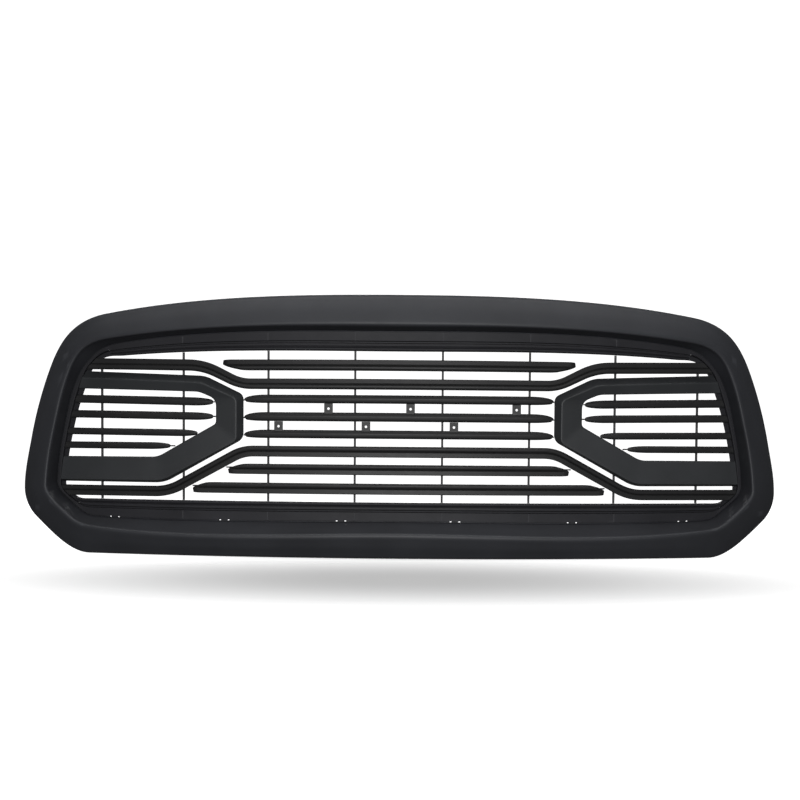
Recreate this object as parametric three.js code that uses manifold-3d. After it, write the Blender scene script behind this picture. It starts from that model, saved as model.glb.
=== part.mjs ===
// Front grille of a full-size pickup truck: a moulded surround shell around a
// recessed insert of rails, upright ribs, blades and two open arrow frames.
// Frame: millimetres, +X to the viewer's right, front faces -Y, +Z up, origin
// in the middle of the flat lower edge.
//
// Shapes are drawn on the flat front view as (x, z) points plus a depth behind
// the frontmost crest, then bowed backwards along X by one plan radius.

import * as THREE from 'three';
import { mergeVertices } from 'three/addons/utils/BufferGeometryUtils.js';
import Module from 'manifold-3d';

const wasm = await Module();
wasm.setup();

// ---- Driving dimensions -------------------------------------------------

const BOW_RADIUS = 1400; // plan curve of the whole front
const INSERT_DEPTH = 38; // insert's front plane behind the crest, at mid height
const LEAN_HEIGHT = 209; // height where the insert has that depth
const LEAN = 0.07; // the insert leans forward at the top, mm per mm
const SKIRT_DEPTH = 60; // rear edge of the surround behind the crest
const SHELL = 3; // wall of the surround
const RAIL_GAP = 0.3; // clearance between touching pieces
const FLANGE_FRONT = 5.3; // surround's inner flange behind the insert plane
const FLANGE_REACH = 0.4; // share of the rail width that the flange carries
const SEAT_SINK = 0.6; // screw seats are sunk this far into the bowed flange

// Half outlines, top centre to bottom centre: x, z, heading in degrees
// clockwise from +X. Matching knots are matching places on each outline.
const RIM = [
  [0, 423, 0],
  [485, 395, 9.5],
  [553, 360, 48],
  [585, 303, 69],
  [617, 190, 79.5],
  [629, 106, 91],
  [607, 58.5, 138],
  [562, 20.5, 144],
  [510, 0, 180],
  [0, 0, 180],
];
const CREST = [
  [0, 373, 0],
  [478, 352, 8],
  [526, 331, 46],
  [547, 295, 68],
  [570, 212, 77],
  [585, 112, 88],
  [573, 88, 133],
  [538, 57.5, 142],
  [497, 45, 174],
  [0, 40, 180],
];
const SEAM = [
  [0, 365, 0],
  [455, 347.5, 8],
  [505, 329, 42],
  [534, 294, 63],
  [559, 212, 78],
  [573, 118, 88],
  [562, 96, 138],
  [528, 68, 143],
  [485, 59, 178],
  [0, 57.5, 180],
];
const OPENING = [
  [0, 332.6, 0],
  [455, 326, 4],
  [494, 320, 35],
  [513, 299, 67],
  [542, 216, 76],
  [559, 117, 86],
  [554, 102.5, 136],
  [538, 92, 150],
  [515, 89.1, 180],
  [0, 89.1, 180],
];
const KNOT_STEPS = [6, 4, 3, 3, 3, 4, 2, 3, 6];

// The side rails run between these knots of the seam and the opening.
const SIDE_RAIL_KNOTS = [1.5, 7];

const RIB_X = [70.5, 211.5, 352.5, 493.5];
const RIB_WIDTH = 3.4;
const RIB_FRONT = 11.7; // behind the insert plane
const RIB_DEPTH = 7;

const BAR_DEPTH = 10; // front to back of every bar, blade and arrow frame
const BAR_END = 0.58; // bars run over the side rails to this share of their width
const WEB_THICKNESS = 2.2;
const WEB_FRONT = 5;

// Straight bars with slanted ends: lower and upper edge, half lengths there.
// The bead lies along the upper edge (-1) or the lower edge (1); web is where
// a thin web that closes the slanted end stops.
const SLANTED_BARS = {
  upper_bar: { low: 301, high: 318.7, halfLow: 256, halfHigh: 287, bead: -1 },
  lower_bar_inner: { low: 133.2, high: 150.2, halfLow: 278, halfHigh: 255, bead: 1, web: 280 },
  lower_bar_outer: { low: 101.8, high: 119.6, halfLow: 337, halfHigh: 314, bead: 1, web: 336.5 },
};
const SLANT_BLUNT = 0.32; // share of the end's height that isn't cut slantwise
const SLANT_CORNER = 2.6; // how far the longer edge's corner is rounded off
const SLANT_CURVE = 2; // power of the curve by which the slant leaves the shorter edge
const SLANT_NOSE = 15; // length over which a slanted end slopes back
const SLANT_NOSE_DEPTH = 7; // front of the slanted end behind the insert plane
const SLANT_NOSE_SCALE = 0.92; // height of the slanted end, share of the bar's
const WEB_DROP = 6.1; // a slanted bar's web lies this far below its upper edge

// Blades between the arrow frames, narrowing to a blunt tip at both ends.
const BLADE_TIP_X = 249.4;
const BLADE_WEB_X = 251.4;
const CENTRE_BLADES = {
  centre_blade_top: { middle: 255.3, height: 13.8 },
  centre_blade_middle: { middle: 226.7, height: 14.6, tabRise: 14.4, tabs: [-113, 19, 190] },
  centre_blade_bottom: { middle: 198.7, height: 13.8, tabRise: 13.6, tabs: [-194, -52.5, 89] },
};

// Long bars that bend around the arrow frames: height of the level and of the
// sloping stretch, bend corners (x, z, radius), height where the bar ends.
const BENT_BARS = {
  upper_bent_bar: {
    height: 17.2,
    slopeHeight: 18.4,
    bead: -1,
    corners: [[257, 279.5, 78], [318, 309.3, 110]],
    end: 312.8,
  },
  lower_bent_bar: {
    height: 17.8,
    slopeHeight: 17.5,
    bead: 1,
    corners: [[253, 170.6, 70], [377, 103.4, 90]],
    end: 103,
  },
};

// Blades inside each arrow frame: tip x, x where the web behind the tip meets
// the frame, middle of the blade at the tip and at the rail, height.
const SIDE_BLADES = [
  { tip: 302.5, web: 299.6, inner: 250, outer: 255, height: 13.6 },
  { tip: 302.5, web: 297.5, inner: 226.4, outer: 230, height: 12.8 },
  { tip: 329, web: 328, inner: 199.2, outer: 201.4, height: 11.6 },
  { tip: 374.5, web: 366, inner: 178, outer: 178.2, height: 11.6 },
];

// Arrow frame on the right: corner x, corner z, corner radius along the outer
// edge, the ridge and the inner edge, and the heights where the legs end.
const ARROW = {
  outer: {
    start: 300.8,
    end: 117.6,
    corners: [[315, 292.4, 50], [251.8, 262, 14], [251.8, 190.4, 18], [384, 117.4, 60]],
  },
  ridge: {
    start: 289,
    end: 121,
    corners: [[322, 280.5, 45], [263, 255, 12], [263, 187, 12], [386, 121.4, 58]],
  },
  inner: {
    start: 272,
    end: 159.6,
    corners: [[326, 266.4, 42], [297, 254.5, 18], [297, 214.8, 8], [395, 160, 40]],
  },
};
const ARROW_PROUD = 7; // ridge stands this far in front of the insert plane

// Tabs with a hole that stand on the centre blades.
const BADGE_TAB = { width: 14, root: 2.5, front: 1.2, thickness: 4, hole: 2 };

const SCREW_X = [0, -210, 210, -415, 415];
const SCREW = { head: 4.2, headHeight: 2.6, shank: 1.9, shankLength: 4.6 };
const SCREW_CLEARANCE = 0.35;

const HOOK_X = [92, 283, 470];
const HOOK_WINDOW = { width: 3, height: 1.4, depth: 24, drop: 4.6, spacing: 14 };

// Spring nut: folded sheet, with half widths of the collar and its bore.
const SPRING_NUT = { sheet: 1, length: 19, width: 16, collar: 5, collarHeight: 4.3, bore: 3 };

const TOP_TAB = { x: [170, 400], width: 34, reach: 26, hole: 4.5 };
const FOOT_TAB = { x: [150, 420], width: 32, height: 30, holeHeight: 19, hole: 4 };

const PLASTIC = { color: 0x36373a, roughness: 0.62, metalness: 0 };
const BAR_PLASTIC = { color: 0x2e2f32, roughness: 0.55, metalness: 0 };
const STEEL = { color: 0x8a8c8f, roughness: 0.35, metalness: 0.9 };
const CLIP_PLASTIC = { color: 0x1b1b1c, roughness: 0.5, metalness: 0 };

// ---- Placing and lofting ------------------------------------------------

function bow(x) {
  return BOW_RADIUS - Math.sqrt(BOW_RADIUS * BOW_RADIUS - x * x);
}

function insertDepth(z) {
  return INSERT_DEPTH + (LEAN_HEIGHT - z) * LEAN;
}

// A front-view point at a depth behind the crest.
function place(point, depth) {
  return new THREE.Vector3(point.x, depth + bow(point.x), point.y);
}

// A front-view point at a depth behind the leaning insert plane.
function onInsert(point, depth) {
  return place(point, insertDepth(point.y) + depth);
}

function signedVolume(points, faces) {
  let volume = 0;
  for (const [a, b, c] of faces) {
    volume += points[a].dot(points[b].clone().cross(points[c]));
  }
  return volume;
}

function geometryFrom(points, faces) {
  const outward = signedVolume(points, faces) > 0;
  const index = faces.flatMap(([a, b, c]) => (outward ? [a, b, c] : [a, c, b]));
  const geometry = new THREE.BufferGeometry();
  const places = points.flatMap((p) => [p.x, p.y, p.z]);
  geometry.setAttribute('position', new THREE.Float32BufferAttribute(places, 3));
  geometry.setIndex(index);
  return geometry;
}

// Skins matching rings of points. A closed loft joins the last ring to the
// first; an open one is capped with the triangulated section.
function loft(rings, closed, section) {
  const size = rings[0].length;
  const faces = [];
  const last = closed ? rings.length : rings.length - 1;
  for (let i = 0; i < last; i++) {
    const here = i * size;
    const next = ((i + 1) % rings.length) * size;
    for (let j = 0; j < size; j++) {
      const k = (j + 1) % size;
      faces.push([here + j, here + k, next + k], [here + j, next + k, next + j]);
    }
  }
  if (!closed) {
    const far = (rings.length - 1) * size;
    const clockwise = THREE.ShapeUtils.isClockWise(section);
    for (const [a, b, c] of THREE.ShapeUtils.triangulateShape(section, [])) {
      faces.push(clockwise ? [a, b, c] : [a, c, b]);
      faces.push(clockwise ? [far + a, far + c, far + b] : [far + a, far + b, far + c]);
    }
  }
  return geometryFrom(rings.flat(), faces);
}

// ---- Solids -------------------------------------------------------------

const ROUND_SIDES = 10; // facets around small holes and fasteners

function toSolid(geometry) {
  const bare = new THREE.BufferGeometry();
  bare.setAttribute('position', geometry.getAttribute('position').clone());
  if (geometry.index) bare.setIndex(geometry.index.clone());
  const merged = mergeVertices(bare, 1e-4);
  return new wasm.Manifold(new wasm.Mesh({
    numProp: 3,
    vertProperties: new Float32Array(merged.getAttribute('position').array),
    triVerts: new Uint32Array(merged.index.array),
  }));
}

function toGeometry(solid) {
  const mesh = solid.getMesh();
  const geometry = new THREE.BufferGeometry();
  geometry.setAttribute('position', new THREE.Float32BufferAttribute(mesh.vertProperties, 3));
  geometry.setIndex(new THREE.Uint32BufferAttribute(mesh.triVerts, 1));
  return geometry;
}

function boxSolid(width, depth, height, x, y, z) {
  return toSolid(new THREE.BoxGeometry(width, depth, height).translate(x, y, z));
}

// A box centred on x, between two depths and two heights.
function blockSolid(width, x, [front, rear], [bottom, top]) {
  return boxSolid(width, rear - front, top - bottom, x, (front + rear) / 2, (bottom + top) / 2);
}

// A round bar along Y.
function rodSolid(radius, length, x, y, z) {
  return toSolid(new THREE.CylinderGeometry(radius, radius, length, ROUND_SIDES).translate(x, y, z));
}

function rodAlongZ(radius, length, x, y, z) {
  const rod = new THREE.CylinderGeometry(radius, radius, length, ROUND_SIDES);
  return toSolid(rod.rotateX(Math.PI / 2).translate(x, y, z));
}

// ---- Outlines -----------------------------------------------------------

function knotCurve(from, to) {
  const start = new THREE.Vector2(from[0], from[1]);
  const end = new THREE.Vector2(to[0], to[1]);
  const turn = THREE.MathUtils.degToRad(Math.max(Math.abs(to[2] - from[2]), 1));
  const handle = (start.distanceTo(end) * 2 * Math.tan(turn / 4)) / (3 * Math.sin(turn / 2));
  const along = (degrees) => {
    const angle = THREE.MathUtils.degToRad(degrees);
    return new THREE.Vector2(Math.cos(angle), -Math.sin(angle)).multiplyScalar(handle);
  };
  const leave = start.clone().add(along(from[2]));
  const arrive = end.clone().sub(along(to[2]));
  return new THREE.CubicBezierCurve(start, leave, arrive, end);
}

function halfOutline(knots) {
  const stretch = (steps, i) => knotCurve(knots[i], knots[i + 1]).getPoints(steps).slice(0, -1);
  const points = KNOT_STEPS.flatMap(stretch);
  const last = knots[knots.length - 1];
  points.push(new THREE.Vector2(last[0], last[1]));
  return points;
}

const mirrored = (point) => new THREE.Vector2(-point.x, point.y);

function fullOutline(knots) {
  const half = halfOutline(knots);
  return [...half, ...half.slice(1, -1).reverse().map(mirrored)];
}

const mix = (a, b, share) => a.clone().lerp(b, share);

// The flat section that caps the ends of an open loft.
const flatSection = (profile, scale = 1) => profile.map(([a, depth]) => new THREE.Vector2(a * scale, depth));

// From a point, a distance along the line towards another point.
function toward(from, to, distance) {
  return to.clone().sub(from).setLength(distance).add(from);
}

const seamHalf = halfOutline(SEAM);
const openingHalf = halfOutline(OPENING);
const [TOP_RAIL_END, SIDE_RAIL_END] = SIDE_RAIL_KNOTS.map((knot) => {
  const whole = Math.floor(knot);
  return KNOT_STEPS.slice(0, whole).reduce((sum, steps) => sum + steps, (knot - whole) * KNOT_STEPS[whole]);
});

// Where a bar at this height ends on the side rail.
function railX(z, share) {
  const line = seamHalf.map((point, i) => mix(point, openingHalf[i], share));
  for (let i = TOP_RAIL_END - 2; i + 1 < line.length; i++) {
    const above = line[i];
    const below = line[i + 1];
    if (above.y >= z && below.y <= z) {
      return THREE.MathUtils.mapLinear(z, above.y, below.y, above.x, below.x);
    }
  }
  throw new Error(`no side rail at height ${z}`);
}

// The end of a bar, moved along X so that it follows the slanting side rail.
function onRail(spot) {
  return new THREE.Vector2(Math.sign(spot.x) * railX(spot.y, BAR_END), spot.y);
}

// ---- Surround shell -----------------------------------------------------

// Section of the shell at one place: skirt, rounded rim, crowned face, crest,
// inner wall and flange, then back along the inside, one wall further in.
function shellSection(rim, crest, seam, opening) {
  const foot = insertDepth(seam.y) + FLANGE_FRONT;
  const flangeEdge = mix(seam, opening, FLANGE_REACH);
  const flangeFront = insertDepth(flangeEdge.y) + FLANGE_FRONT;
  const outside = toward(seam, crest, SHELL);
  const front = [
    [rim, SKIRT_DEPTH],
    [rim, 27],
    [toward(rim, crest, 2.4), 20.2],
    [toward(rim, crest, 8), 16.4],
    [mix(rim, crest, 0.45), 8.4],
    [mix(rim, crest, 0.7), 3.6],
    [toward(crest, rim, 6), 0.6],
    [toward(crest, rim, 2.5), 0],
    [toward(crest, seam, 0.4), 0.9],
    [toward(crest, seam, 2.4), 3.6],
    [toward(crest, seam, 3.6), 8],
    [seam, foot],
    [flangeEdge, flangeFront],
  ];
  const back = [
    [flangeEdge, flangeFront + SHELL],
    [outside, foot + SHELL],
    [toward(crest, seam, 0.6), 10],
    [toward(crest, rim, 5), 4],
    [mix(rim, crest, 0.7), 6.8],
    [mix(rim, crest, 0.45), 11.6],
    [toward(rim, crest, 8), 20],
    [toward(rim, crest, SHELL), 26.6],
    [toward(rim, crest, SHELL), SKIRT_DEPTH],
  ];
  return [...front, ...back].map(([point, depth]) => place(point, depth));
}

function shellBody() {
  const rim = fullOutline(RIM);
  const crest = fullOutline(CREST);
  const seam = fullOutline(SEAM);
  const opening = fullOutline(OPENING);
  return toSolid(loft(rim.map((point, i) => shellSection(point, crest[i], seam[i], opening[i])), true));
}

// Height of the rim's upper edge at a distance from the middle.
function rimTop(x) {
  const half = halfOutline(RIM);
  const i = half.findIndex((point) => point.x > Math.abs(x));
  return THREE.MathUtils.mapLinear(Math.abs(x), half[i - 1].x, half[i].x, half[i - 1].y, half[i].y);
}

const bothSides = (values) => values.flatMap((value) => [-value, value]);

const TOP_TAB_SINK = 4; // tab's upper face below the rim
function topTabPlace(x) {
  return { x, y: bow(x) + SKIRT_DEPTH, z: rimTop(x) - TOP_TAB_SINK };
}

// How far the bowed rear edge runs back across half the width of a tab.
const edgeRun = (x, width) => bow(Math.abs(x) + width / 2) - bow(x);

const TAB_OVERLAP = 8; // tabs run this far inside the skirt
const ROOT_CLEARANCE = 0.5; // a tab's raised root ends this far behind the skirt
function topTab(x) {
  const spot = topTabPlace(x);
  const front = spot.y - TAB_OVERLAP;
  const rear = spot.y + TOP_TAB.reach;
  const rootRear = spot.y + edgeRun(x, TOP_TAB.width) + ROOT_CLEARANCE;
  const rootTop = spot.z + 1;
  const underside = spot.z - SHELL;
  const plate = blockSolid(TOP_TAB.width, x, [front, rear], [underside, spot.z]);
  const root = blockSolid(TOP_TAB.width, x, [front, rootRear], [underside, rootTop]);
  const hole = rodAlongZ(TOP_TAB.hole, SHELL * 4, x, spot.y + TOP_TAB.reach / 2, spot.z);
  return plate.add(root).subtract(hole);
}

// Rear face of a foot tab, behind the skirt over the tab's whole width.
const footTabRear = (x) => bow(x) + SKIRT_DEPTH + edgeRun(x, FOOT_TAB.width) + ROOT_CLEARANCE;

const FOOT_TAB_RISE = 1; // foot tabs stay this far above the lower edge

// A flat foot that runs back from the skirt, and a plate that stands on it.
function footTab(x) {
  const rear = footTabRear(x);
  const front = bow(Math.abs(x) - FOOT_TAB.width / 2) + SKIRT_DEPTH - TAB_OVERLAP;
  const plate = blockSolid(FOOT_TAB.width, x, [rear - SHELL, rear], [FOOT_TAB_RISE, FOOT_TAB.height]);
  const foot = blockSolid(FOOT_TAB.width, x, [front, rear], [FOOT_TAB_RISE, FOOT_TAB_RISE + SHELL]);
  return plate.add(foot).subtract(rodSolid(FOOT_TAB.hole, SHELL * 4, x, rear, FOOT_TAB.holeHeight));
}

// The middle of the flange, where rail and surround are screwed together.
function flangePlace(x, top) {
  const edge = seamHalf.slice(top ? 0 : SIDE_RAIL_END);
  const lip = openingHalf.slice(top ? 0 : SIDE_RAIL_END);
  const line = edge.map((point, i) => mix(point, lip[i], FLANGE_REACH / 2));
  for (let i = 0; i + 1 < line.length; i++) {
    const [a, b] = [line[i], line[i + 1]];
    if (Math.min(a.x, b.x) <= Math.abs(x) && Math.abs(x) <= Math.max(a.x, b.x)) {
      return new THREE.Vector2(x, THREE.MathUtils.mapLinear(Math.abs(x), a.x, b.x, a.y, b.y));
    }
  }
  throw new Error(`no flange at ${x}`);
}

const SCREW_PLACES = [true, false].flatMap((top) => SCREW_X.map((x) => flangePlace(x, top)));

// A screw's head rests on a flat face sunk into the bowed flange.
const screwSeat = (spot) => onInsert(spot, FLANGE_FRONT + SHELL - SEAT_SINK);

function screwHole(spot) {
  const seat = screwSeat(spot);
  const length = SCREW.shankLength + SCREW_CLEARANCE;
  const hole = rodSolid(SCREW.shank + SCREW_CLEARANCE, length, seat.x, seat.y - length / 2, seat.z);
  const room = SCREW.headHeight * 2;
  const sinkMiddle = seat.y - RAIL_GAP + room / 2;
  const sink = rodSolid(SCREW.head + SCREW_CLEARANCE, room, seat.x, sinkMiddle, seat.z);
  return hole.add(sink);
}

// Two windows beside each snap hook, through flange and rail.
function hookWindows() {
  const { width, height, depth, drop, spacing } = HOOK_WINDOW;
  return bothSides(HOOK_X).flatMap((x) => [x - spacing / 2, x + spacing / 2]).map((x) => {
    const spot = flangePlace(x, false);
    return boxSolid(width, depth, height, x, onInsert(spot, FLANGE_FRONT).y, spot.y - drop);
  });
}

const cutAll = (solid, cutters) => cutters.reduce((rest, cutter) => rest.subtract(cutter), solid);
const joinAll = (solid, others) => others.reduce((sum, other) => sum.add(other), solid);

function surroundShell() {
  const tabs = [...bothSides(TOP_TAB.x).map(topTab), ...bothSides(FOOT_TAB.x).map(footTab)];
  const joined = joinAll(shellBody(), tabs);
  return toGeometry(cutAll(joined, [...SCREW_PLACES.map(screwHole), ...hookWindows()]));
}

// ---- Insert rails and ribs ----------------------------------------------

// Share of the way from seam to opening, depth behind the insert plane.
const LIPPED_RAIL = [
  [0.04, 4.9], [0.04, 2.7], [0.06, 2], [0.5, 2.4], [0.53, 6.4], [0.6, 6.4], [0.62, 2], [0.65, 1.2],
  [0.76, 1.6], [0.79, 3.4], [0.82, 3], [0.86, 0.5], [0.92, 0], [0.97, 0.8], [1, 3.4],
  [1, 17.5], [0.92, 17.5], [0.92, 9.6], [0.46, 9.6], [0.46, 4.9],
];
const PLAIN_RAIL = [
  [0.04, 4.9], [0.04, 2.7], [0.08, 2], [0.4, 2.6], [0.47, 4], [0.54, 11], [1, 11.4],
  [1, 17.5], [0.84, 17.5], [0.84, 14.4], [0.46, 14.4], [0.44, 4.9],
];

function rail(seam, opening, profile) {
  const ring = (point, i) => profile.map(([share, depth]) => onInsert(mix(point, opening[i], share), depth));
  return loft(seam.map(ring), false, flatSection(profile));
}

// Stations of a rail, moved a little inward at its ends to leave a gap.
function railStations(half, from, to) {
  const line = half.slice(from, to + 1);
  if (from > 0) line[0] = toward(line[0], line[1], RAIL_GAP);
  if (to < half.length - 1) line[line.length - 1] = toward(line.at(-1), line.at(-2), RAIL_GAP);
  return line;
}

function acrossMiddle(line, fromMiddle) {
  return fromMiddle
    ? [...line.slice(1).reverse().map(mirrored), ...line]
    : [...line, ...line.slice(0, -1).reverse().map(mirrored)];
}

function topRail() {
  const seam = acrossMiddle(railStations(seamHalf, 0, TOP_RAIL_END), true);
  const opening = acrossMiddle(railStations(openingHalf, 0, TOP_RAIL_END), true);
  const screws = SCREW_PLACES.slice(0, SCREW_X.length).map(screwHole);
  return toGeometry(cutAll(toSolid(rail(seam, opening, LIPPED_RAIL)), screws));
}

function bottomRail() {
  const end = seamHalf.length - 1;
  const seam = acrossMiddle(railStations(seamHalf, SIDE_RAIL_END, end), false);
  const opening = acrossMiddle(railStations(openingHalf, SIDE_RAIL_END, end), false);
  const screws = SCREW_PLACES.slice(SCREW_X.length).map(screwHole);
  return toGeometry(cutAll(toSolid(rail(seam, opening, LIPPED_RAIL)), [...screws, ...hookWindows()]));
}

function sideRail(side) {
  const turn = (line) => (side < 0 ? line.map(mirrored) : line);
  const seam = turn(railStations(seamHalf, TOP_RAIL_END, SIDE_RAIL_END));
  const opening = turn(railStations(openingHalf, TOP_RAIL_END, SIDE_RAIL_END));
  return rail(seam, opening, PLAIN_RAIL);
}

// Height of the opening's upper or lower edge at a distance from the middle.
function openingEdge(x, top) {
  const line = top ? openingHalf.slice(0, TOP_RAIL_END + 4) : openingHalf.slice(SIDE_RAIL_END);
  for (let i = 0; i + 1 < line.length; i++) {
    const [a, b] = [line[i], line[i + 1]];
    if (Math.min(a.x, b.x) <= x && x <= Math.max(a.x, b.x)) {
      return THREE.MathUtils.mapLinear(x, a.x, b.x, a.y, b.y);
    }
  }
  throw new Error(`no opening edge at ${x}`);
}

function rib(x) {
  const half = RIB_WIDTH / 2;
  const corners = [[-half, 0], [half, 0], [half, RIB_DEPTH], [-half, RIB_DEPTH]];
  const bottom = openingEdge(Math.abs(x), false) + RAIL_GAP;
  const top = openingEdge(Math.abs(x) + RIB_WIDTH, true) - RAIL_GAP;
  const ring = (z) => corners.map(([dx, depth]) => {
    const point = onInsert(new THREE.Vector2(x, z), RIB_FRONT + depth);
    return new THREE.Vector3(x + dx, point.y, z);
  });
  return loft([ring(bottom), ring(top)], false, flatSection(corners));
}

// ---- Bars and blades ----------------------------------------------------

// Share of the height (+ is the side away from the bead), depth.
const BEADED = [
  [0.5, BAR_DEPTH], [0.5, 3], [0.45, 2.2], [0.07, 2.6], [0, 4.2],
  [-0.08, 0.8], [-0.2, 0], [-0.34, 0], [-0.5, 2.6], [-0.5, BAR_DEPTH],
];
const RIDGED = [
  [0.5, BAR_DEPTH], [0.5, 4.4], [0.4, 2], [0.04, 0], [-0.3, 0.5], [-0.5, 3.4], [-0.5, BAR_DEPTH],
];

function pathNormal(path, i) {
  const before = path[Math.max(i - 1, 0)];
  const after = path[Math.min(i + 1, path.length - 1)];
  const along = after.clone().sub(before).normalize();
  return new THREE.Vector2(-along.y, along.x);
}

const TIP_NOSE = 0.55; // an end of no height would lie back by this share of the depth
const EDGE_SLACK = 0.4; // keeps the profile's depths apart at a tip

// Sweeps a profile along a front-view path, with a share of the height at each station.
function sweep(path, height, profile, side, scale) {
  const rings = path.map((point, i) => {
    const normal = pathNormal(path, i);
    const size = scale[i];
    const nose = BAR_DEPTH * TIP_NOSE * (1 - size);
    const meetsRail = i === path.length - 1 && size === 1;
    return profile.map(([share, depth]) => {
      const rise = share * side * height * size;
      const spot = point.clone().addScaledVector(normal, rise);
      const deepest = BAR_DEPTH - EDGE_SLACK * (1 - depth / BAR_DEPTH);
      return onInsert(meetsRail ? onRail(spot) : spot, Math.min(depth + nose, deepest));
    });
  });
  return loft(rings, false, flatSection(profile, height));
}

// A thin web behind a tip, from one x to another at one height.
const WEB_OVERLAP = 25; // webs start this far inside a bar
function web(from, to, z) {
  const half = WEB_THICKNESS / 2;
  const corners = [[-half, WEB_FRONT], [half, WEB_FRONT], [half, BAR_DEPTH], [-half, BAR_DEPTH]];
  const ring = (x) => corners.map(([dz, depth]) => onInsert(new THREE.Vector2(x, z + dz), depth));
  return toSolid(loft([ring(from), ring(to)], false, flatSection(corners)));
}

// Distance behind a tip and share of the full height there.
const TIP_SCALES = [[0, 0.3], [4, 0.63], [12, 0.83], [22, 0.95], [34, 1]];
const TIP_DROP = 3.2; // how far a blade of no height would lie below the middle
const TIP_WEB_DROP = 2; // the web of a centre blade lies below the middle
const STATION = 62; // longest stretch between stations along the bow

function evenSteps(from, to) {
  const count = Math.ceil(Math.abs(to - from) / STATION);
  return Array.from({ length: count + 1 }, (_, i) => from + ((to - from) * i) / count);
}

function badgeTab(x, blade) {
  const height = blade.tabRise + BADGE_TAB.root;
  const z = blade.middle + blade.height / 2 - BADGE_TAB.root + height / 2;
  const y = onInsert(new THREE.Vector2(x, z), BADGE_TAB.front + BADGE_TAB.thickness / 2).y;
  const plate = boxSolid(BADGE_TAB.width, BADGE_TAB.thickness, height, x, y, z);
  return plate.subtract(rodSolid(BADGE_TAB.hole, BADGE_TAB.thickness * 4, x, y, z));
}

function centreBlade(name) {
  const blade = CENTRE_BLADES[name];
  const full = BLADE_TIP_X - TIP_SCALES.at(-1)[0];
  const taper = TIP_SCALES.slice(0, -1);
  const stations = [
    ...taper.map(([back, size]) => [back - BLADE_TIP_X, size]),
    ...evenSteps(-full, full).map((x) => [x, 1]),
    ...taper.toReversed().map(([back, size]) => [BLADE_TIP_X - back, size]),
  ];
  const path = stations.map(([x, size]) => new THREE.Vector2(x, blade.middle - TIP_DROP * (1 - size)));
  const body = toSolid(sweep(path, blade.height, RIDGED, 1, stations.map(([, size]) => size)));
  const webStart = BLADE_TIP_X - WEB_OVERLAP;
  const webs = [-1, 1].map((side) => web(side * webStart, side * BLADE_WEB_X, blade.middle - TIP_WEB_DROP));
  const tabs = (blade.tabs ?? []).map((x) => badgeTab(x, blade));
  return toGeometry(joinAll(body, [...webs, ...tabs]));
}

// A slanted end is blunt at the longer edge and curves back to the shorter one.
function slantedBar({ low, high, halfLow, halfHigh, bead, web: webEnd }) {
  const height = high - low;
  const middle = (low + high) / 2;
  const longHalf = Math.max(halfLow, halfHigh);
  const slant = Math.abs(halfHigh - halfLow);
  const longSide = Math.sign(halfHigh - halfLow);
  const halfAt = (rise) => {
    const share = 0.5 - (longSide * rise) / height; // 0 at the longer edge, 1 at the shorter
    if (share < SLANT_BLUNT) return longHalf - SLANT_CORNER * (1 - share / SLANT_BLUNT) ** 2;
    return longHalf - slant * ((share - SLANT_BLUNT) / (1 - SLANT_BLUNT)) ** SLANT_CURVE;
  };
  const straight = longHalf - slant - SLANT_NOSE;
  const inner = evenSteps(STATION - straight, straight - STATION);
  const ring = (side, back, scale, front) => BEADED.map(([share, depth]) => {
    const rise = -share * bead * height;
    const x = side * (halfAt(rise) - back);
    return onInsert(new THREE.Vector2(x, middle + rise * scale), Math.max(depth, front));
  });
  const rings = [
    ring(-1, 0, SLANT_NOSE_SCALE, SLANT_NOSE_DEPTH),
    ring(-1, SLANT_NOSE, 1, 0),
    ...inner.map((x) => BEADED.map(([share, depth]) => {
      return onInsert(new THREE.Vector2(x, middle - share * bead * height), depth);
    })),
    ring(1, SLANT_NOSE, 1, 0),
    ring(1, 0, SLANT_NOSE_SCALE, SLANT_NOSE_DEPTH),
  ];
  const body = toSolid(loft(rings, false, flatSection(BEADED, height)));
  if (!webEnd) return toGeometry(body);
  const webStart = longHalf - slant / 2 - WEB_OVERLAP;
  const webs = [-1, 1].map((side) => web(side * webStart, side * webEnd, high - WEB_DROP));
  return toGeometry(joinAll(body, webs));
}

// Rounds the corners of a front-view path; every path has the same stations
// when it has the same number of corners.
const ARC_STEPS = 5;
function roundedPath(start, corners, end, straightSteps) {
  const points = [start];
  const ends = [start, ...corners.map(([x, z]) => new THREE.Vector2(x, z)), end];
  const addStraight = (to, count) => {
    const from = points.at(-1);
    for (let i = 1; i <= count; i++) points.push(mix(from, to, i / count));
  };
  corners.forEach(([, , radius], i) => {
    const corner = ends[i + 1];
    const into = corner.clone().sub(ends[i]).normalize();
    const out = ends[i + 2].clone().sub(corner).normalize();
    const turn = Math.acos(THREE.MathUtils.clamp(into.dot(out), -1, 1));
    const trim = radius * Math.tan(turn / 2);
    addStraight(corner.clone().addScaledVector(into, -trim), straightSteps[i]);
    const leave = corner.clone().addScaledVector(out, trim);
    const curve = new THREE.QuadraticBezierCurve(points.at(-1).clone(), corner, leave);
    points.push(...curve.getPoints(ARC_STEPS).slice(1));
  });
  addStraight(end, straightSteps.at(-1));
  return points;
}

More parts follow.
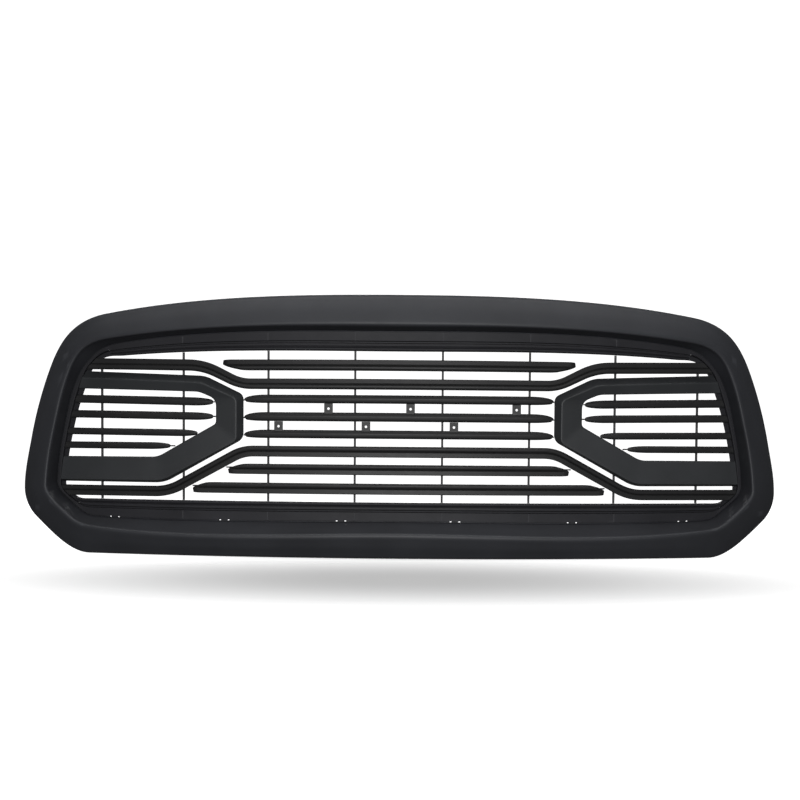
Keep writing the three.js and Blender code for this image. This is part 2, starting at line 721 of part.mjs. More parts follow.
function bentBar({ height, slopeHeight, bead, corners, end }) {
  const level = corners[0][1];
  const edge = new THREE.Vector2(railX(end, BAR_END), end);
  const right = roundedPath(new THREE.Vector2(0, level), corners, edge, [4, 1, 3]);
  const path = [...right.slice(1).reverse().map(mirrored), ...right];
  const rings = path.map((point, i) => {
    const normal = pathNormal(path, i);
    const atEnd = i === 0 || i === path.length - 1;
    const bent = THREE.MathUtils.smoothstep(Math.abs(point.x), corners[0][0], corners[1][0]);
    const girth = THREE.MathUtils.lerp(height, slopeHeight, bent);
    return BEADED.map(([share, depth]) => {
      const spot = point.clone().addScaledVector(normal, -share * bead * girth);
      return onInsert(atEnd ? onRail(spot) : spot, depth);
    });
  });
  return loft(rings, false, flatSection(BEADED, height));
}

function sideBlade({ tip, web: webEnd, inner, outer, height }, side) {
  const edge = railX(outer, BAR_END);
  const slope = (outer - inner) / (edge - tip);
  const stations = [
    ...TIP_SCALES.slice(0, -1).map(([back, size]) => [tip + back, size]),
    ...evenSteps(tip + TIP_SCALES.at(-1)[0], edge).map((x) => [x, 1]),
  ];
  const path = stations.map(([x]) => new THREE.Vector2(side * x, inner + (x - tip) * slope));
  const body = sweep(path, height, RIDGED, side, stations.map(([, size]) => size));
  return toGeometry(toSolid(body).add(web(side * (tip + WEB_OVERLAP), side * webEnd, inner)));
}

// ---- Arrow frames -------------------------------------------------------

const ARROW_STEPS = [4, 1, 1, 2, 4];

function arrowEdge({ start, end, corners }) {
  const from = new THREE.Vector2(railX(start, BAR_END), start);
  const to = new THREE.Vector2(railX(end, BAR_END), end);
  return roundedPath(from, corners, to, ARROW_STEPS);
}

function arrowFrame(side) {
  const turn = (line) => (side < 0 ? line.map(mirrored) : line);
  const outer = turn(arrowEdge(ARROW.outer));
  const ridge = turn(arrowEdge(ARROW.ridge));
  const inner = turn(arrowEdge(ARROW.inner));
  const section = (i) => [
    [outer[i], BAR_DEPTH],
    [outer[i], 7.5],
    [mix(outer[i], ridge[i], 0.12), 6],
    [mix(outer[i], ridge[i], 0.9), -ARROW_PROUD + 0.8],
    [ridge[i], -ARROW_PROUD],
    [mix(ridge[i], inner[i], 0.08), -ARROW_PROUD + 0.3],
    [mix(ridge[i], inner[i], 0.93), -1.2],
    [mix(ridge[i], inner[i], 0.98), -0.4],
    [inner[i], 1.2],
    [inner[i], BAR_DEPTH],
  ];
  const rings = outer.map((_, i) => section(i).map(([point, depth]) => onInsert(point, depth)));
  // Distances across the leg, for the caps at its two ends.
  const across = [0, 0, 1.5, 10, 11, 12, 34, 35, 36, 36];
  return loft(rings, false, across.map((distance, i) => new THREE.Vector2(distance, section(0)[i][1])));
}

// ---- Fasteners ----------------------------------------------------------

// Pan head behind the flange, shank forward through it into the rail.
function screw(spot) {
  const seat = screwSeat(spot);
  const { head, headHeight, shank, shankLength } = SCREW;
  const profile = [
    [0, -shankLength], [shank, -shankLength + 1], [shank, 0], [head, 0], [head, headHeight * 0.6],
    [head * 0.6, headHeight], [0, headHeight],
  ].map(([radius, along]) => new THREE.Vector2(radius, along));
  return new THREE.LatheGeometry(profile, ROUND_SIDES).translate(seat.x, seat.y, seat.z);
}

// Folded sheet nut around a top tab, with a threaded collar under it.
function springNut(x) {
  const { y, z } = topTabPlace(x);
  const { sheet, length, width, collar, collarHeight, bore } = SPRING_NUT;
  const fold = y + TOP_TAB.reach + RAIL_GAP;
  const open = fold - length;
  const low = z - SHELL - RAIL_GAP;
  const high = z + RAIL_GAP;
  const shape = new THREE.Shape([
    [open, high], [fold, high], [fold, low], [open, low],
    [open, low - sheet], [fold + sheet, low - sheet], [fold + sheet, high + sheet], [open, high + sheet],
  ].map(([a, b]) => new THREE.Vector2(a, b)));
  const strip = new THREE.ExtrudeGeometry(shape, { depth: width, bevelEnabled: false });
  // The shape's axes are y and z, and it is extruded along x.
  const turned = new THREE.Matrix4().set(0, 0, 1, x - width / 2, 1, 0, 0, 0, 0, 1, 0, 0, 0, 0, 0, 1);
  strip.applyMatrix4(turned);
  const holeY = y + TOP_TAB.reach / 2;
  const ring = rodAlongZ(collar, collarHeight, x, holeY, low - sheet / 2 - collarHeight / 2);
  const hole = rodAlongZ(bore, TOP_TAB.width, x, holeY, z);
  return toGeometry(toSolid(strip).add(ring).subtract(hole));
}

// Push clip through a foot tab: head in front, and a barbed shank behind that
// leaves room for the panel it holds.
const PANEL_ROOM = 2.6;
function pushClip(x) {
  const y = footTabRear(x) - SHELL - RAIL_GAP;
  const shank = FOOT_TAB.hole - 0.4;
  const grip = SHELL + PANEL_ROOM + RAIL_GAP;
  const profile = [
    [0, -3], [5, -3], [7.5, -1.6], [7.5, 0], [shank, 0], [shank, grip], [shank + 0.9, grip + 0.4],
    [shank - 1.4, grip + 8], [0, grip + 10],
  ].map(([radius, along]) => new THREE.Vector2(radius, along));
  return new THREE.LatheGeometry(profile, ROUND_SIDES).translate(x, y, FOOT_TAB.holeHeight);
}

// ---- Assembly -----------------------------------------------------------

const grille = new THREE.Group();

function add(name, geometry, finish) {
  geometry.deleteAttribute('normal');
  geometry.deleteAttribute('uv');
  const mesh = new THREE.Mesh(mergeVertices(geometry, 1e-4), new THREE.MeshStandardMaterial(finish));
  mesh.name = name;
  grille.add(mesh);
}

const SIDES = { left: -1, right: 1 };

add('surround_shell', surroundShell(), PLASTIC);
add('insert_top_rail', topRail(), PLASTIC);
add('insert_bottom_rail', bottomRail(), PLASTIC);
for (const [name, side] of Object.entries(SIDES)) {
  add(`insert_side_rail_${name}`, sideRail(side), PLASTIC);
}
bothSides(RIB_X).sort((a, b) => a - b).forEach((x, i) => add(`upright_rib_${i + 1}`, rib(x), BAR_PLASTIC));
for (const [name, bar] of Object.entries(SLANTED_BARS)) add(name, slantedBar(bar), BAR_PLASTIC);
for (const [name, bar] of Object.entries(BENT_BARS)) add(name, bentBar(bar), BAR_PLASTIC);
for (const name of Object.keys(CENTRE_BLADES)) add(name, centreBlade(name), BAR_PLASTIC);
for (const [name, side] of Object.entries(SIDES)) {
  SIDE_BLADES.forEach((blade, i) => add(`side_blade_${name}_${i + 1}`, sideBlade(blade, side), BAR_PLASTIC));
  add(`arrow_frame_${name}`, arrowFrame(side), PLASTIC);
}
SCREW_PLACES.forEach((spot, i) => add(`insert_screw_${i + 1}`, screw(spot), STEEL));
bothSides(TOP_TAB.x).forEach((x, i) => add(`spring_nut_${i + 1}`, springNut(x), STEEL));
bothSides(FOOT_TAB.x).forEach((x, i) => add(`push_clip_${i + 1}`, pushClip(x), CLIP_PLASTIC));

// The origin lies in the middle of the depth.
const bounds = new THREE.Box3().setFromObject(grille);
grille.position.y = -(bounds.min.y + bounds.max.y) / 2;

export default grille;
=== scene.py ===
"""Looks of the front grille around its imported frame.

Shapes are worked out in millimetres on the flat front view, as (x, z) points
plus a depth behind the frontmost crest, and then bowed back along X. Meshes
are stored in metres: +X to the viewer's right, front faces -Y, +Z up.
"""

import math

import bmesh
import bpy
from mathutils import Matrix, Vector


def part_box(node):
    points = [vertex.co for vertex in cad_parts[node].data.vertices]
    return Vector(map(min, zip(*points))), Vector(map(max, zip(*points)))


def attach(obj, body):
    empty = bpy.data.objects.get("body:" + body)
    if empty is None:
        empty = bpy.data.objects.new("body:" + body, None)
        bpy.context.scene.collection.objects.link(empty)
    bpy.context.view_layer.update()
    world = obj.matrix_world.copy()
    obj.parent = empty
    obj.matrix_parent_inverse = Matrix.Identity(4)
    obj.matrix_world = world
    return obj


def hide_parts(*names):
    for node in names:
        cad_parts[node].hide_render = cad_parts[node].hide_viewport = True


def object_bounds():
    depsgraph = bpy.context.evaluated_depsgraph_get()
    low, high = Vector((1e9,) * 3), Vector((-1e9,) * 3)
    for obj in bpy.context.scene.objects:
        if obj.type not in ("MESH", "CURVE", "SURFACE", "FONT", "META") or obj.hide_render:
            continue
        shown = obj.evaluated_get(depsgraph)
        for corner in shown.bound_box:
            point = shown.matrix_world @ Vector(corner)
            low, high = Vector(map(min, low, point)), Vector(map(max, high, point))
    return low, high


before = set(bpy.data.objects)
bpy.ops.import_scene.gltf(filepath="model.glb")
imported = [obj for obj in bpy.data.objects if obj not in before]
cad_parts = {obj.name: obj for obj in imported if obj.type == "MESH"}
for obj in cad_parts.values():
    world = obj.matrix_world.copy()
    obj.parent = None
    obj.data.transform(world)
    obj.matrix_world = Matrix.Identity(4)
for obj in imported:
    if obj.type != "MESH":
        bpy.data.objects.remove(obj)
CAD_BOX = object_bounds()

MM = 0.001
FRONT = CAD_BOX[0].y / MM  # the frontmost crest
BODY = "root"

# ---- Driving dimensions, mm ---------------------------------------------

BOW_RADIUS = 1400
INSERT_DEPTH = 38  # insert's front plane behind the crest, at LEAN_HEIGHT
LEAN_HEIGHT = 209
LEAN = 0.07  # mm deeper for each mm further down
SKIRT_DEPTH = 60  # rear edge of the surround behind the crest
SHELL = 3  # wall of the surround
GAP = 0.3  # between pieces that meet
FLANGE_FRONT = 5.3  # flange's front behind the insert plane
FLANGE_REACH = 0.4  # share of the way from seam to opening

# Half outlines, top centre to bottom centre: x, z, heading in degrees
# clockwise from +X. Matching knots are matching places on each outline.
RIM = [
    (0, 423, 0),
    (485, 395, 9.5),
    (553, 360, 48),
    (585, 303, 69),
    (617, 190, 79.5),
    (629, 106, 91),
    (607, 58.5, 138),
    (562, 20.5, 144),
    (510, 0, 180),
    (0, 0, 180),
]
CREST = [
    (0, 373, 0),
    (478, 352, 8),
    (526, 331, 46),
    (547, 295, 68),
    (570, 212, 77),
    (585, 112, 88),
    (573, 88, 133),
    (538, 57.5, 142),
    (497, 45, 174),
    (0, 40, 180),
]
SEAM = [
    (0, 365, 0),
    (455, 347.5, 8),
    (505, 329, 42),
    (534, 294, 63),
    (559, 212, 78),
    (573, 118, 88),
    (562, 96, 138),
    (528, 68, 143),
    (485, 59, 178),
    (0, 57.5, 180),
]
OPENING = [
    (0, 332.6, 0),
    (455, 326, 4),
    (494, 320, 35),
    (513, 299, 67),
    (542, 216, 76),
    (559, 117, 86),
    (554, 102.5, 136),
    (538, 92, 150),
    (515, 89.1, 180),
    (0, 89.1, 180),
]
KNOT_STEPS = [24, 12, 9, 10, 10, 12, 6, 10, 26]
TOP_RAIL_KNOT = 1.5  # the top rail ends here, and the side rail starts
SIDE_RAIL_KNOT = 7  # the side rail ends here, and the bottom rail starts

RIB_X = [70.5, 211.5, 352.5, 493.5]
BAR_DEPTH = 10
BAR_END = 0.58  # bars end at this share of the way from seam to opening
STATION = 20  # longest stretch between stations along the bow
SLANT_BLUNT = 0.32  # share of the height over which a slanted end is blunt
SLANT_CORNER = 2.6  # how far the blunt stretch lies back at the longer edge
SLANT_CURVE = 2  # power of the curve from there to the shorter edge
SLANT_NOSE = 15  # length over which a slanted end slopes back
SLANT_NOSE_DEPTH = 7  # front of the slanted end behind the insert plane
SLANT_NOSE_SCALE = 0.92  # height of the slanted end, share of the bar's
SLANT_NOSE_STEPS = 5
TIP_LENGTH = 34
TIP_SCALE = 0.3  # a tip ends bluntly, at this share of the height
TIP_DROP = 3.2
TIP_WEB_DROP = 2
TIP_NOSE = 0.55  # share of the bar's depth by which a tip slopes back
TIP_BACKS = [0, 0.5, 1.5, 3, 5, 8, 12, 17, 23, 29]  # stations behind a tip
WEB_THICKNESS = 2.2
WEB_FRONT = 5
WEB_OVERLAP = 25

# Share of the height (+ is the side away from the bead), depth, rounding.
BEADED = [
    (0.5, BAR_DEPTH, 0.3), (0.5, 3, 0.5), (0.45, 2.2, 0.5), (0.07, 2.6, 0.4), (0, 4.2, 0.4),
    (-0.08, 0.8, 0.9), (-0.2, 0, 1.4), (-0.34, 0, 1.4), (-0.5, 2.6, 1.6), (-0.5, BAR_DEPTH, 0.3),
]
RIDGED = [
    (0.5, BAR_DEPTH, 0.3), (0.5, 4.4, 1.4), (0.4, 2, 1.2), (0.04, 0, 1.1),
    (-0.3, 0.5, 1.4), (-0.5, 3.4, 1.6), (-0.5, BAR_DEPTH, 0.3),
]
# Share of the way from seam to opening, depth, rounding.
LIPPED_RAIL = [
    (0.04, 4.9, 0), (0.04, 2.7, 0.3), (0.06, 2, 0.3), (0.5, 2.4, 0.5), (0.53, 6.4, 0.3),
    (0.6, 6.4, 0.3), (0.62, 2, 0.4), (0.65, 1.2, 0.6), (0.76, 1.6, 0.5), (0.79, 3.4, 0.3),
    (0.82, 3, 0.4), (0.86, 0.5, 0.8), (0.92, 0, 0.9), (0.97, 0.8, 0.8), (1, 3.4, 0.8),
    (1, 17.5, 0.3), (0.92, 17.5, 0.3), (0.92, 9.6, 0.3), (0.46, 9.6, 0.3), (0.46, 4.9, 0),
]
PLAIN_RAIL = [
    (0.04, 4.9, 0), (0.04, 2.7, 0.3), (0.08, 2, 0.4), (0.4, 2.6, 0.8), (0.47, 4, 0.8),
    (0.54, 11, 0.6), (1, 11.4, 0.6), (1, 17.5, 0.3), (0.84, 17.5, 0.3), (0.84, 14.4, 0.3),
    (0.46, 14.4, 0.3), (0.44, 4.9, 0),
]

SLANTED_BARS = {
    "upper_bar": dict(low=301, high=318.7, half_low=256, half_high=287, bead=-1),
    "lower_bar_inner": dict(low=133.2, high=150.2, half_low=278, half_high=255, bead=1, web=280),
    "lower_bar_outer": dict(low=101.8, high=119.6, half_low=337, half_high=314, bead=1, web=336.5),
}
WEB_DROP = 6.1  # a slanted bar's web lies this far below its upper edge

BENT_BARS = {
    "upper_bent_bar": dict(
        height=17.2, slope_height=18.4, bead=-1,
        corners=[(257, 279.5, 78), (318, 309.3, 110)], end=312.8,
    ),
    "lower_bent_bar": dict(
        height=17.8, slope_height=17.5, bead=1,
        corners=[(253, 170.6, 70), (377, 103.4, 90)], end=103,
    ),
}

BLADE_TIP_X = 249.4
BLADE_WEB_X = 251.4
CENTRE_BLADES = {
    "centre_blade_top": dict(middle=255.3, height=13.8),
    "centre_blade_middle": dict(middle=226.7, height=14.6, tab_rise=14.4, tabs=(-113, 19, 190)),
    "centre_blade_bottom": dict(middle=198.7, height=13.8, tab_rise=13.6, tabs=(-194, -52.5, 89)),
}
SIDE_BLADES = [
    dict(tip=302.5, web=299.6, inner=250, outer=255, height=13.6),
    dict(tip=302.5, web=297.5, inner=226.4, outer=230, height=12.8),
    dict(tip=329, web=328, inner=199.2, outer=201.4, height=11.6),
    dict(tip=374.5, web=366, inner=178, outer=178.2, height=11.6),
]
BADGE_TAB = dict(width=14, root=2.5, front=1.2, thickness=4, hole=2)
BADGE_BOSS = dict(radius=4.2, sunk=1.5, proud=0.5)

ARROW = {
    "outer": dict(
        start=300.8, end=117.6,
        corners=[(315, 292.4, 50), (251.8, 262, 14), (251.8, 190.4, 18), (384, 117.4, 60)],
    ),
    "ridge": dict(
        start=289, end=121,
        corners=[(322, 280.5, 45), (263, 255, 12), (263, 187, 12), (386, 121.4, 58)],
    ),
    "inner": dict(
        start=272, end=159.6,
        corners=[(326, 266.4, 42), (297, 254.5, 18), (297, 214.8, 8), (395, 160, 40)],
    ),
}
ARROW_PROUD = 7  # ridge before the insert plane
ARROW_STEPS = [12, 3, 3, 7, 12]
ARC_STEPS = 9

HOOK_X = [92, 283, 470]
HOOK_WINDOW = dict(width=3, height=1.4, depth=24, drop=4.6, spacing=14)

SIDES = {"left": -1, "right": 1}


# ---- Places on the front view -------------------------------------------

def bow(x):
    return BOW_RADIUS - math.sqrt(BOW_RADIUS ** 2 - x * x)


def insert_depth(z):
    return INSERT_DEPTH + (LEAN_HEIGHT - z) * LEAN


def place(point, depth):
    return Vector((point.x, FRONT + depth + bow(point.x), point.y))


def on_insert(point, depth):
    return place(point, insert_depth(point.y) + depth)


def toward(start, end, distance):
    return start + (end - start).normalized() * distance


def heading(degrees):
    angle = math.radians(degrees)
    return Vector((math.cos(angle), -math.sin(angle)))


def knot_curve(start, end, steps):
    """Points of the curve between two knots, without the last one."""
    a = Vector(start[:2])
    d = Vector(end[:2])
    turn = math.radians(max(abs(end[2] - start[2]), 1))
    handle = (a - d).length * 2 * math.tan(turn / 4) / (3 * math.sin(turn / 2))
    b = a + heading(start[2]) * handle
    c = d - heading(end[2]) * handle
    points = []
    for k in range(steps):
        t = k / steps
        s = 1 - t
        points.append(a * s ** 3 + b * 3 * s * s * t + c * 3 * s * t * t + d * t ** 3)
    return points


def half_outline(knots):
    points = []
    for start, end, steps in zip(knots, knots[1:], KNOT_STEPS):
        points += knot_curve(start, end, steps)
    return points + [Vector(knots[-1][:2])]


def mirrored(point):
    return Vector((-point.x, point.y))


def full_outline(half):
    return half + [mirrored(p) for p in reversed(half[1:-1])]


def knot_index(knot):
    whole = int(knot)
    return sum(KNOT_STEPS[:whole]) + round((knot - whole) * KNOT_STEPS[whole])


RIM_HALF = half_outline(RIM)
CREST_HALF = half_outline(CREST)
SEAM_HALF = half_outline(SEAM)
OPENING_HALF = half_outline(OPENING)
TOP_RAIL_END = knot_index(TOP_RAIL_KNOT)
SIDE_RAIL_END = knot_index(SIDE_RAIL_KNOT)


def crossing(line, value, along):
    """Where a line of points crosses a value of one coordinate: the other one."""
    other = 1 - along
    for a, b in zip(line, line[1:]):
        low, high = sorted((a[along], b[along]))
        if low <= value <= high and high > low:
            share = (value - a[along]) / (b[along] - a[along])
            return a[other] + (b[other] - a[other]) * share
    raise ValueError(f"the line doesn't reach {value}")


def between(line, other, share):
    return [a.lerp(b, share) for a, b in zip(line, other)]


BAR_END_LINE = between(SEAM_HALF, OPENING_HALF, BAR_END)[TOP_RAIL_END - 6:]


def on_rail(spot):
    """The end of a bar, moved along X so that it follows the slanting side rail."""
    return Vector((math.copysign(crossing(BAR_END_LINE, spot.y, 1), spot.x), spot.y))


# ---- Meshes --------------------------------------------------------------

ROUND_STEPS = 3
MERGE = 1e-7  # metres
SMOOTH_ANGLE = math.radians(32)


def rounded(corners, steps=ROUND_STEPS):
    """A closed ring of points from (corner, rounding) pairs."""
    ring = []
    for i, (corner, trim) in enumerate(corners):
        if not trim:
            ring.append(corner)
            continue
        before = corners[i - 1][0] - corner
        after = corners[(i + 1) % len(corners)][0] - corner
        enter = corner + before.normalized() * min(trim, before.length / 2)
        leave = corner + after.normalized() * min(trim, after.length / 2)
        for k in range(steps + 1):
            t = k / steps
            ring.append(enter.lerp(corner, t).lerp(corner.lerp(leave, t), t))
    return ring


def loft(rings, closed=False):
    """Skins matching rings of points; an open loft gets a cap at each end."""
    bm = bmesh.new()
    rows = [[bm.verts.new(p * MM) for p in ring] for ring in rings]
    pairs = list(zip(rows, rows[1:]))
    if closed:
        pairs.append((rows[-1], rows[0]))
    size = len(rows[0])
    for here, ahead in pairs:
        for j in range(size):
            k = (j + 1) % size
            bm.faces.new((here[j], here[k], ahead[k], ahead[j]))
    if not closed:
        bm.faces.new(rows[0])
        bm.faces.new(rows[-1])
    bmesh.ops.remove_doubles(bm, verts=bm.verts, dist=MERGE)
    bmesh.ops.recalc_face_normals(bm, faces=bm.faces)
    return bm


def block(low, high, rounding, segments=2):
    """A box between two corners in mm, with rounded edges."""
    bm = bmesh.new()
    bmesh.ops.create_cube(bm, size=1)
    low, high = Vector(low), Vector(high)
    for vert in bm.verts:
        vert.co = Vector([(a + b) / 2 + c * (b - a) for a, b, c in zip(low, high, vert.co)]) * MM
    bmesh.ops.bevel(
        bm, geom=list(bm.edges), offset=rounding * MM, segments=segments, profile=0.5, affect="EDGES",
    )
    return bm


def lathe(profile, axis, centre, sides=40):
    """Turns (radius, along, rounding) points around an axis through a centre, all in mm."""
    corners = [(Vector((radius, along)), trim) for radius, along, trim in profile]
    line = rounded(corners)
    bm = bmesh.new()
    turn = Vector((0, 0, 1)).rotation_difference(Vector(axis)).to_matrix()
    rows = []
    for i in range(sides):
        angle = 2 * math.pi * i / sides
        row = []
        for point in line:
            spot = Vector((point.x * math.cos(angle), point.x * math.sin(angle), point.y))
            row.append(bm.verts.new((turn @ spot + Vector(centre)) * MM))
        rows.append(row)
    for i in range(sides):
        here, ahead = rows[i], rows[(i + 1) % sides]
        for j in range(len(line) - 1):
            bm.faces.new((here[j], here[j + 1], ahead[j + 1], ahead[j]))
    bmesh.ops.remove_doubles(bm, verts=bm.verts, dist=MERGE)
    bmesh.ops.dissolve_degenerate(bm, edges=bm.edges, dist=MERGE)
    bmesh.ops.recalc_face_normals(bm, faces=bm.faces)
    return bm


def rod(radius, length, axis, centre, sides=32):
    half = length / 2
    return lathe([(0, -half, 0), (radius, -half, 0), (radius, half, 0), (0, half, 0)], axis, centre, sides)


def make_object(name, bm):
    mesh = bpy.data.meshes.new(name)
    bm.to_mesh(mesh)
    bm.free()
    made = bpy.data.objects.new(name, mesh)
    bpy.context.scene.collection.objects.link(made)
    return made


def combine(piece, operation, bms):
    """Joins bodies to a piece, or cuts them out of it, and keeps the result as its mesh."""
    if not bms:
        return
    others = [make_object(f"{piece.name}_{i}", bm) for i, bm in enumerate(bms)]
    for other in others:
        modifier = piece.modifiers.new("combine", "BOOLEAN")
        modifier.operation = operation
        modifier.solver = "EXACT"
        modifier.object = other
    evaluated = piece.evaluated_get(bpy.context.evaluated_depsgraph_get())
    result = bpy.data.meshes.new_from_object(evaluated)
    piece.modifiers.clear()
    piece.data = result
    for other in others:
        bpy.data.objects.remove(other)


def finish_piece(piece, material, slot, *nodes):
    """Smooth shading, finish, and the nodes that the piece stands for."""
    piece.data.materials.clear()
    piece.data.materials.append(material)
    piece.data.shade_smooth()
    piece.data.set_sharp_from_angle(angle=SMOOTH_ANGLE)
    normals = piece.modifiers.new("normals", "WEIGHTED_NORMAL")
    normals.keep_sharp = True
    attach(piece, BODY)
    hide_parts(*nodes)


# ---- Materials -----------------------------------------------------------

def node_tools(material):
    tree = material.node_tree
    shader = tree.nodes["Principled BSDF"]

    def add(kind, **inputs):
        made = tree.nodes.new(kind)
        for name, value in inputs.items():
            made.inputs[name.replace("_", " ")].default_value = value
        return made

    return tree, shader, add


def ramp(tree, source, low, high, dark, light):
    """Maps a factor between two stops to two colours."""
    made = tree.nodes.new("ShaderNodeValToRGB")
    made.color_ramp.elements[0].position = low
    made.color_ramp.elements[0].color = (*dark, 1)
    made.color_ramp.elements[1].position = high
    made.color_ramp.elements[1].color = (*light, 1)
    tree.links.new(source, made.inputs["Fac"])
    return made.outputs["Color"]


def value_range(tree, source, low, high):
    made = tree.nodes.new("ShaderNodeMapRange")
    made.inputs["To Min"].default_value = low
    made.inputs["To Max"].default_value = high
    tree.links.new(source, made.inputs["Value"])
    return made.outputs["Result"]


def moulded_plastic(name, colour, roughness, grain, grain_height, level):
    """Black moulded plastic: fine grain, faint flow clouding, edges rubbed a little lighter."""
    material = bpy.data.materials.new(name)
    material.use_nodes = True
    tree, shader, add = node_tools(material)
    place_in = add("ShaderNodeTexCoord")
    clouds = add("ShaderNodeTexNoise", Scale=9, Detail=3, Roughness=0.55)
    tree.links.new(place_in.outputs["Object"], clouds.inputs["Vector"])
    fine = add("ShaderNodeTexNoise", Scale=grain, Detail=2, Roughness=0.6)
    tree.links.new(place_in.outputs["Object"], fine.inputs["Vector"])
    scuffs = add("ShaderNodeTexNoise", Scale=60, Detail=5, Roughness=0.7)
    tree.links.new(place_in.outputs["Object"], scuffs.inputs["Vector"])

    dark = tuple(c * 0.88 for c in colour)
    light = tuple(c * 1.12 for c in colour)
    tone = ramp(tree, clouds.outputs["Fac"], 0.35, 0.65, dark, light)
    geometry = add("ShaderNodeNewGeometry")
    edge = add("ShaderNodeMapRange", From_Min=0.5, From_Max=0.62)
    tree.links.new(geometry.outputs["Pointiness"], edge.inputs["Value"])
    worn = add("ShaderNodeMix")
    worn.data_type = "RGBA"
    worn.inputs["B"].default_value = (*tuple(c * 1.5 + 0.004 for c in colour), 1)
    tree.links.new(edge.outputs["Result"], worn.inputs["Factor"])
    tree.links.new(tone, worn.inputs["A"])
    tree.links.new(worn.outputs["Result"], shader.inputs["Base Color"])

    gloss = value_range(tree, scuffs.outputs["Fac"], roughness - 0.06, roughness + 0.06)
    tree.links.new(gloss, shader.inputs["Roughness"])
    bump = add("ShaderNodeBump", Strength=0.35, Distance=grain_height)
    tree.links.new(fine.outputs["Fac"], bump.inputs["Height"])
    tree.links.new(bump.outputs["Normal"], shader.inputs["Normal"])
    shader.inputs["Specular IOR Level"].default_value = level
    return material


def zinc_steel(name):
    """Zinc-plated steel: mottled bright and dull, with fine drawn lines."""
    material = bpy.data.materials.new(name)
    material.use_nodes = True
    tree, shader, add = node_tools(material)
    place_in = add("ShaderNodeTexCoord")
    spangle = add("ShaderNodeTexVoronoi", Scale=420)
    tree.links.new(place_in.outputs["Object"], spangle.inputs["Vector"])
    tone = ramp(tree, spangle.outputs["Distance"], 0.1, 0.9, (0.36, 0.36, 0.35), (0.56, 0.56, 0.54))
    tree.links.new(tone, shader.inputs["Base Color"])
    lines = add("ShaderNodeTexNoise", Scale=900, Detail=3)
    tree.links.new(place_in.outputs["Object"], lines.inputs["Vector"])
    tree.links.new(value_range(tree, lines.outputs["Fac"], 0.25, 0.5), shader.inputs["Roughness"])
    bump = add("ShaderNodeBump", Strength=0.2, Distance=0.0001)
    tree.links.new(lines.outputs["Fac"], bump.inputs["Height"])
    tree.links.new(bump.outputs["Normal"], shader.inputs["Normal"])
    shader.inputs["Metallic"].default_value = 0.9
    return material


SHELL_PLASTIC = moulded_plastic("shell_plastic", (0.019, 0.020, 0.0235), 0.55, 2200, 0.00008, 0.34)
ARROW_PLASTIC = moulded_plastic("arrow_plastic", (0.021, 0.0225, 0.0245), 0.5, 2200, 0.00006, 0.38)
INSERT_PLASTIC = moulded_plastic("insert_plastic", (0.0165, 0.0165, 0.019), 0.56, 2600, 0.00005, 0.15)
BLADE_PLASTIC = moulded_plastic("blade_plastic", (0.0155, 0.0155, 0.016), 0.46, 2600, 0.00004, 0.18)
CLIP_PLASTIC = moulded_plastic("clip_plastic", (0.02, 0.02, 0.02), 0.42, 1800, 0.00003, 0.5)
STEEL = zinc_steel("zinc_steel")


# ---- Surround shell ------------------------------------------------------

def shell_section(rim, crest, seam, opening):
    """Skirt, rounded rim, crowned face, crest, inner wall and flange, then back one wall in."""
    foot = insert_depth(seam.y) + FLANGE_FRONT
    edge = seam.lerp(opening, FLANGE_REACH)
    edge_front = insert_depth(edge.y) + FLANGE_FRONT
    outside = toward(seam, crest, SHELL)
    corners = [
        (rim, SKIRT_DEPTH, 0.8),
        (rim, 27, 6),
        (toward(rim, crest, 2.4), 20.2, 6),
        (toward(rim, crest, 8), 16.4, 9),
        (rim.lerp(crest, 0.45), 8.4, 14),
        (rim.lerp(crest, 0.7), 3.6, 12),
        (toward(crest, rim, 6), 0.6, 4),
        (toward(crest, rim, 2.5), 0, 2),
        (toward(crest, seam, 0.4), 0.9, 2),
        (toward(crest, seam, 2.4), 3.6, 3),
        (toward(crest, seam, 3.6), 8, 5),
        (seam, foot, 1.2),
        (edge, edge_front, 0.6),
        (edge, edge_front + SHELL, 0.6),
        (outside, foot + SHELL, 3),
        (toward(crest, seam, 0.6), 10, 4),
        (toward(crest, rim, 5), 4, 4),
        (rim.lerp(crest, 0.7), 6.8, 12),
        (rim.lerp(crest, 0.45), 11.6, 14),
        (toward(rim, crest, 8), 20, 6),
        (toward(rim, crest, SHELL), 26.6, 5),
        (toward(rim, crest, SHELL), SKIRT_DEPTH, 0.8),
    ]
    return rounded([(place(point, depth), trim) for point, depth, trim in corners])


def flange_place(x):
    """The middle of the lower flange at a distance from the middle."""
    line = between(SEAM_HALF, OPENING_HALF, FLANGE_REACH / 2)[SIDE_RAIL_END:]
    return Vector((x, crossing(line, abs(x), 0)))


def hook_windows():
    """Two windows beside each snap hook, through flange and rail."""
    w = HOOK_WINDOW
    cutters = []
    for hook in HOOK_X:
        for x in (hook - w["spacing"] / 2, hook + w["spacing"] / 2):
            for side in (-1, 1):
                spot = flange_place(side * x)
                y = on_insert(spot, FLANGE_FRONT).y
                z = spot.y - w["drop"]
                low = (side * x - w["width"] / 2, y - w["depth"] / 2, z - w["height"] / 2)
                high = (side * x + w["width"] / 2, y + w["depth"] / 2, z + w["height"] / 2)
                cutters.append(block(low, high, 0.4))
    return cutters


TOP_TAB = dict(width=34, reach=26, hole=4.5)
FOOT_TAB = dict(width=32, height=30, rise=1, hole=4, hole_height=19)
TAB_OVERLAP = 8  # a tab starts this far inside the skirt
ROOT_CLEARANCE = 0.5
HOLE_LENGTH = dict(tab=20, foot=30, nut=40)  # of the rods that cut the holes


def edge_run(x, width):
    return bow(abs(x) + width / 2) - bow(x)


def skirt_rear(x):
    return FRONT + SKIRT_DEPTH + bow(x)


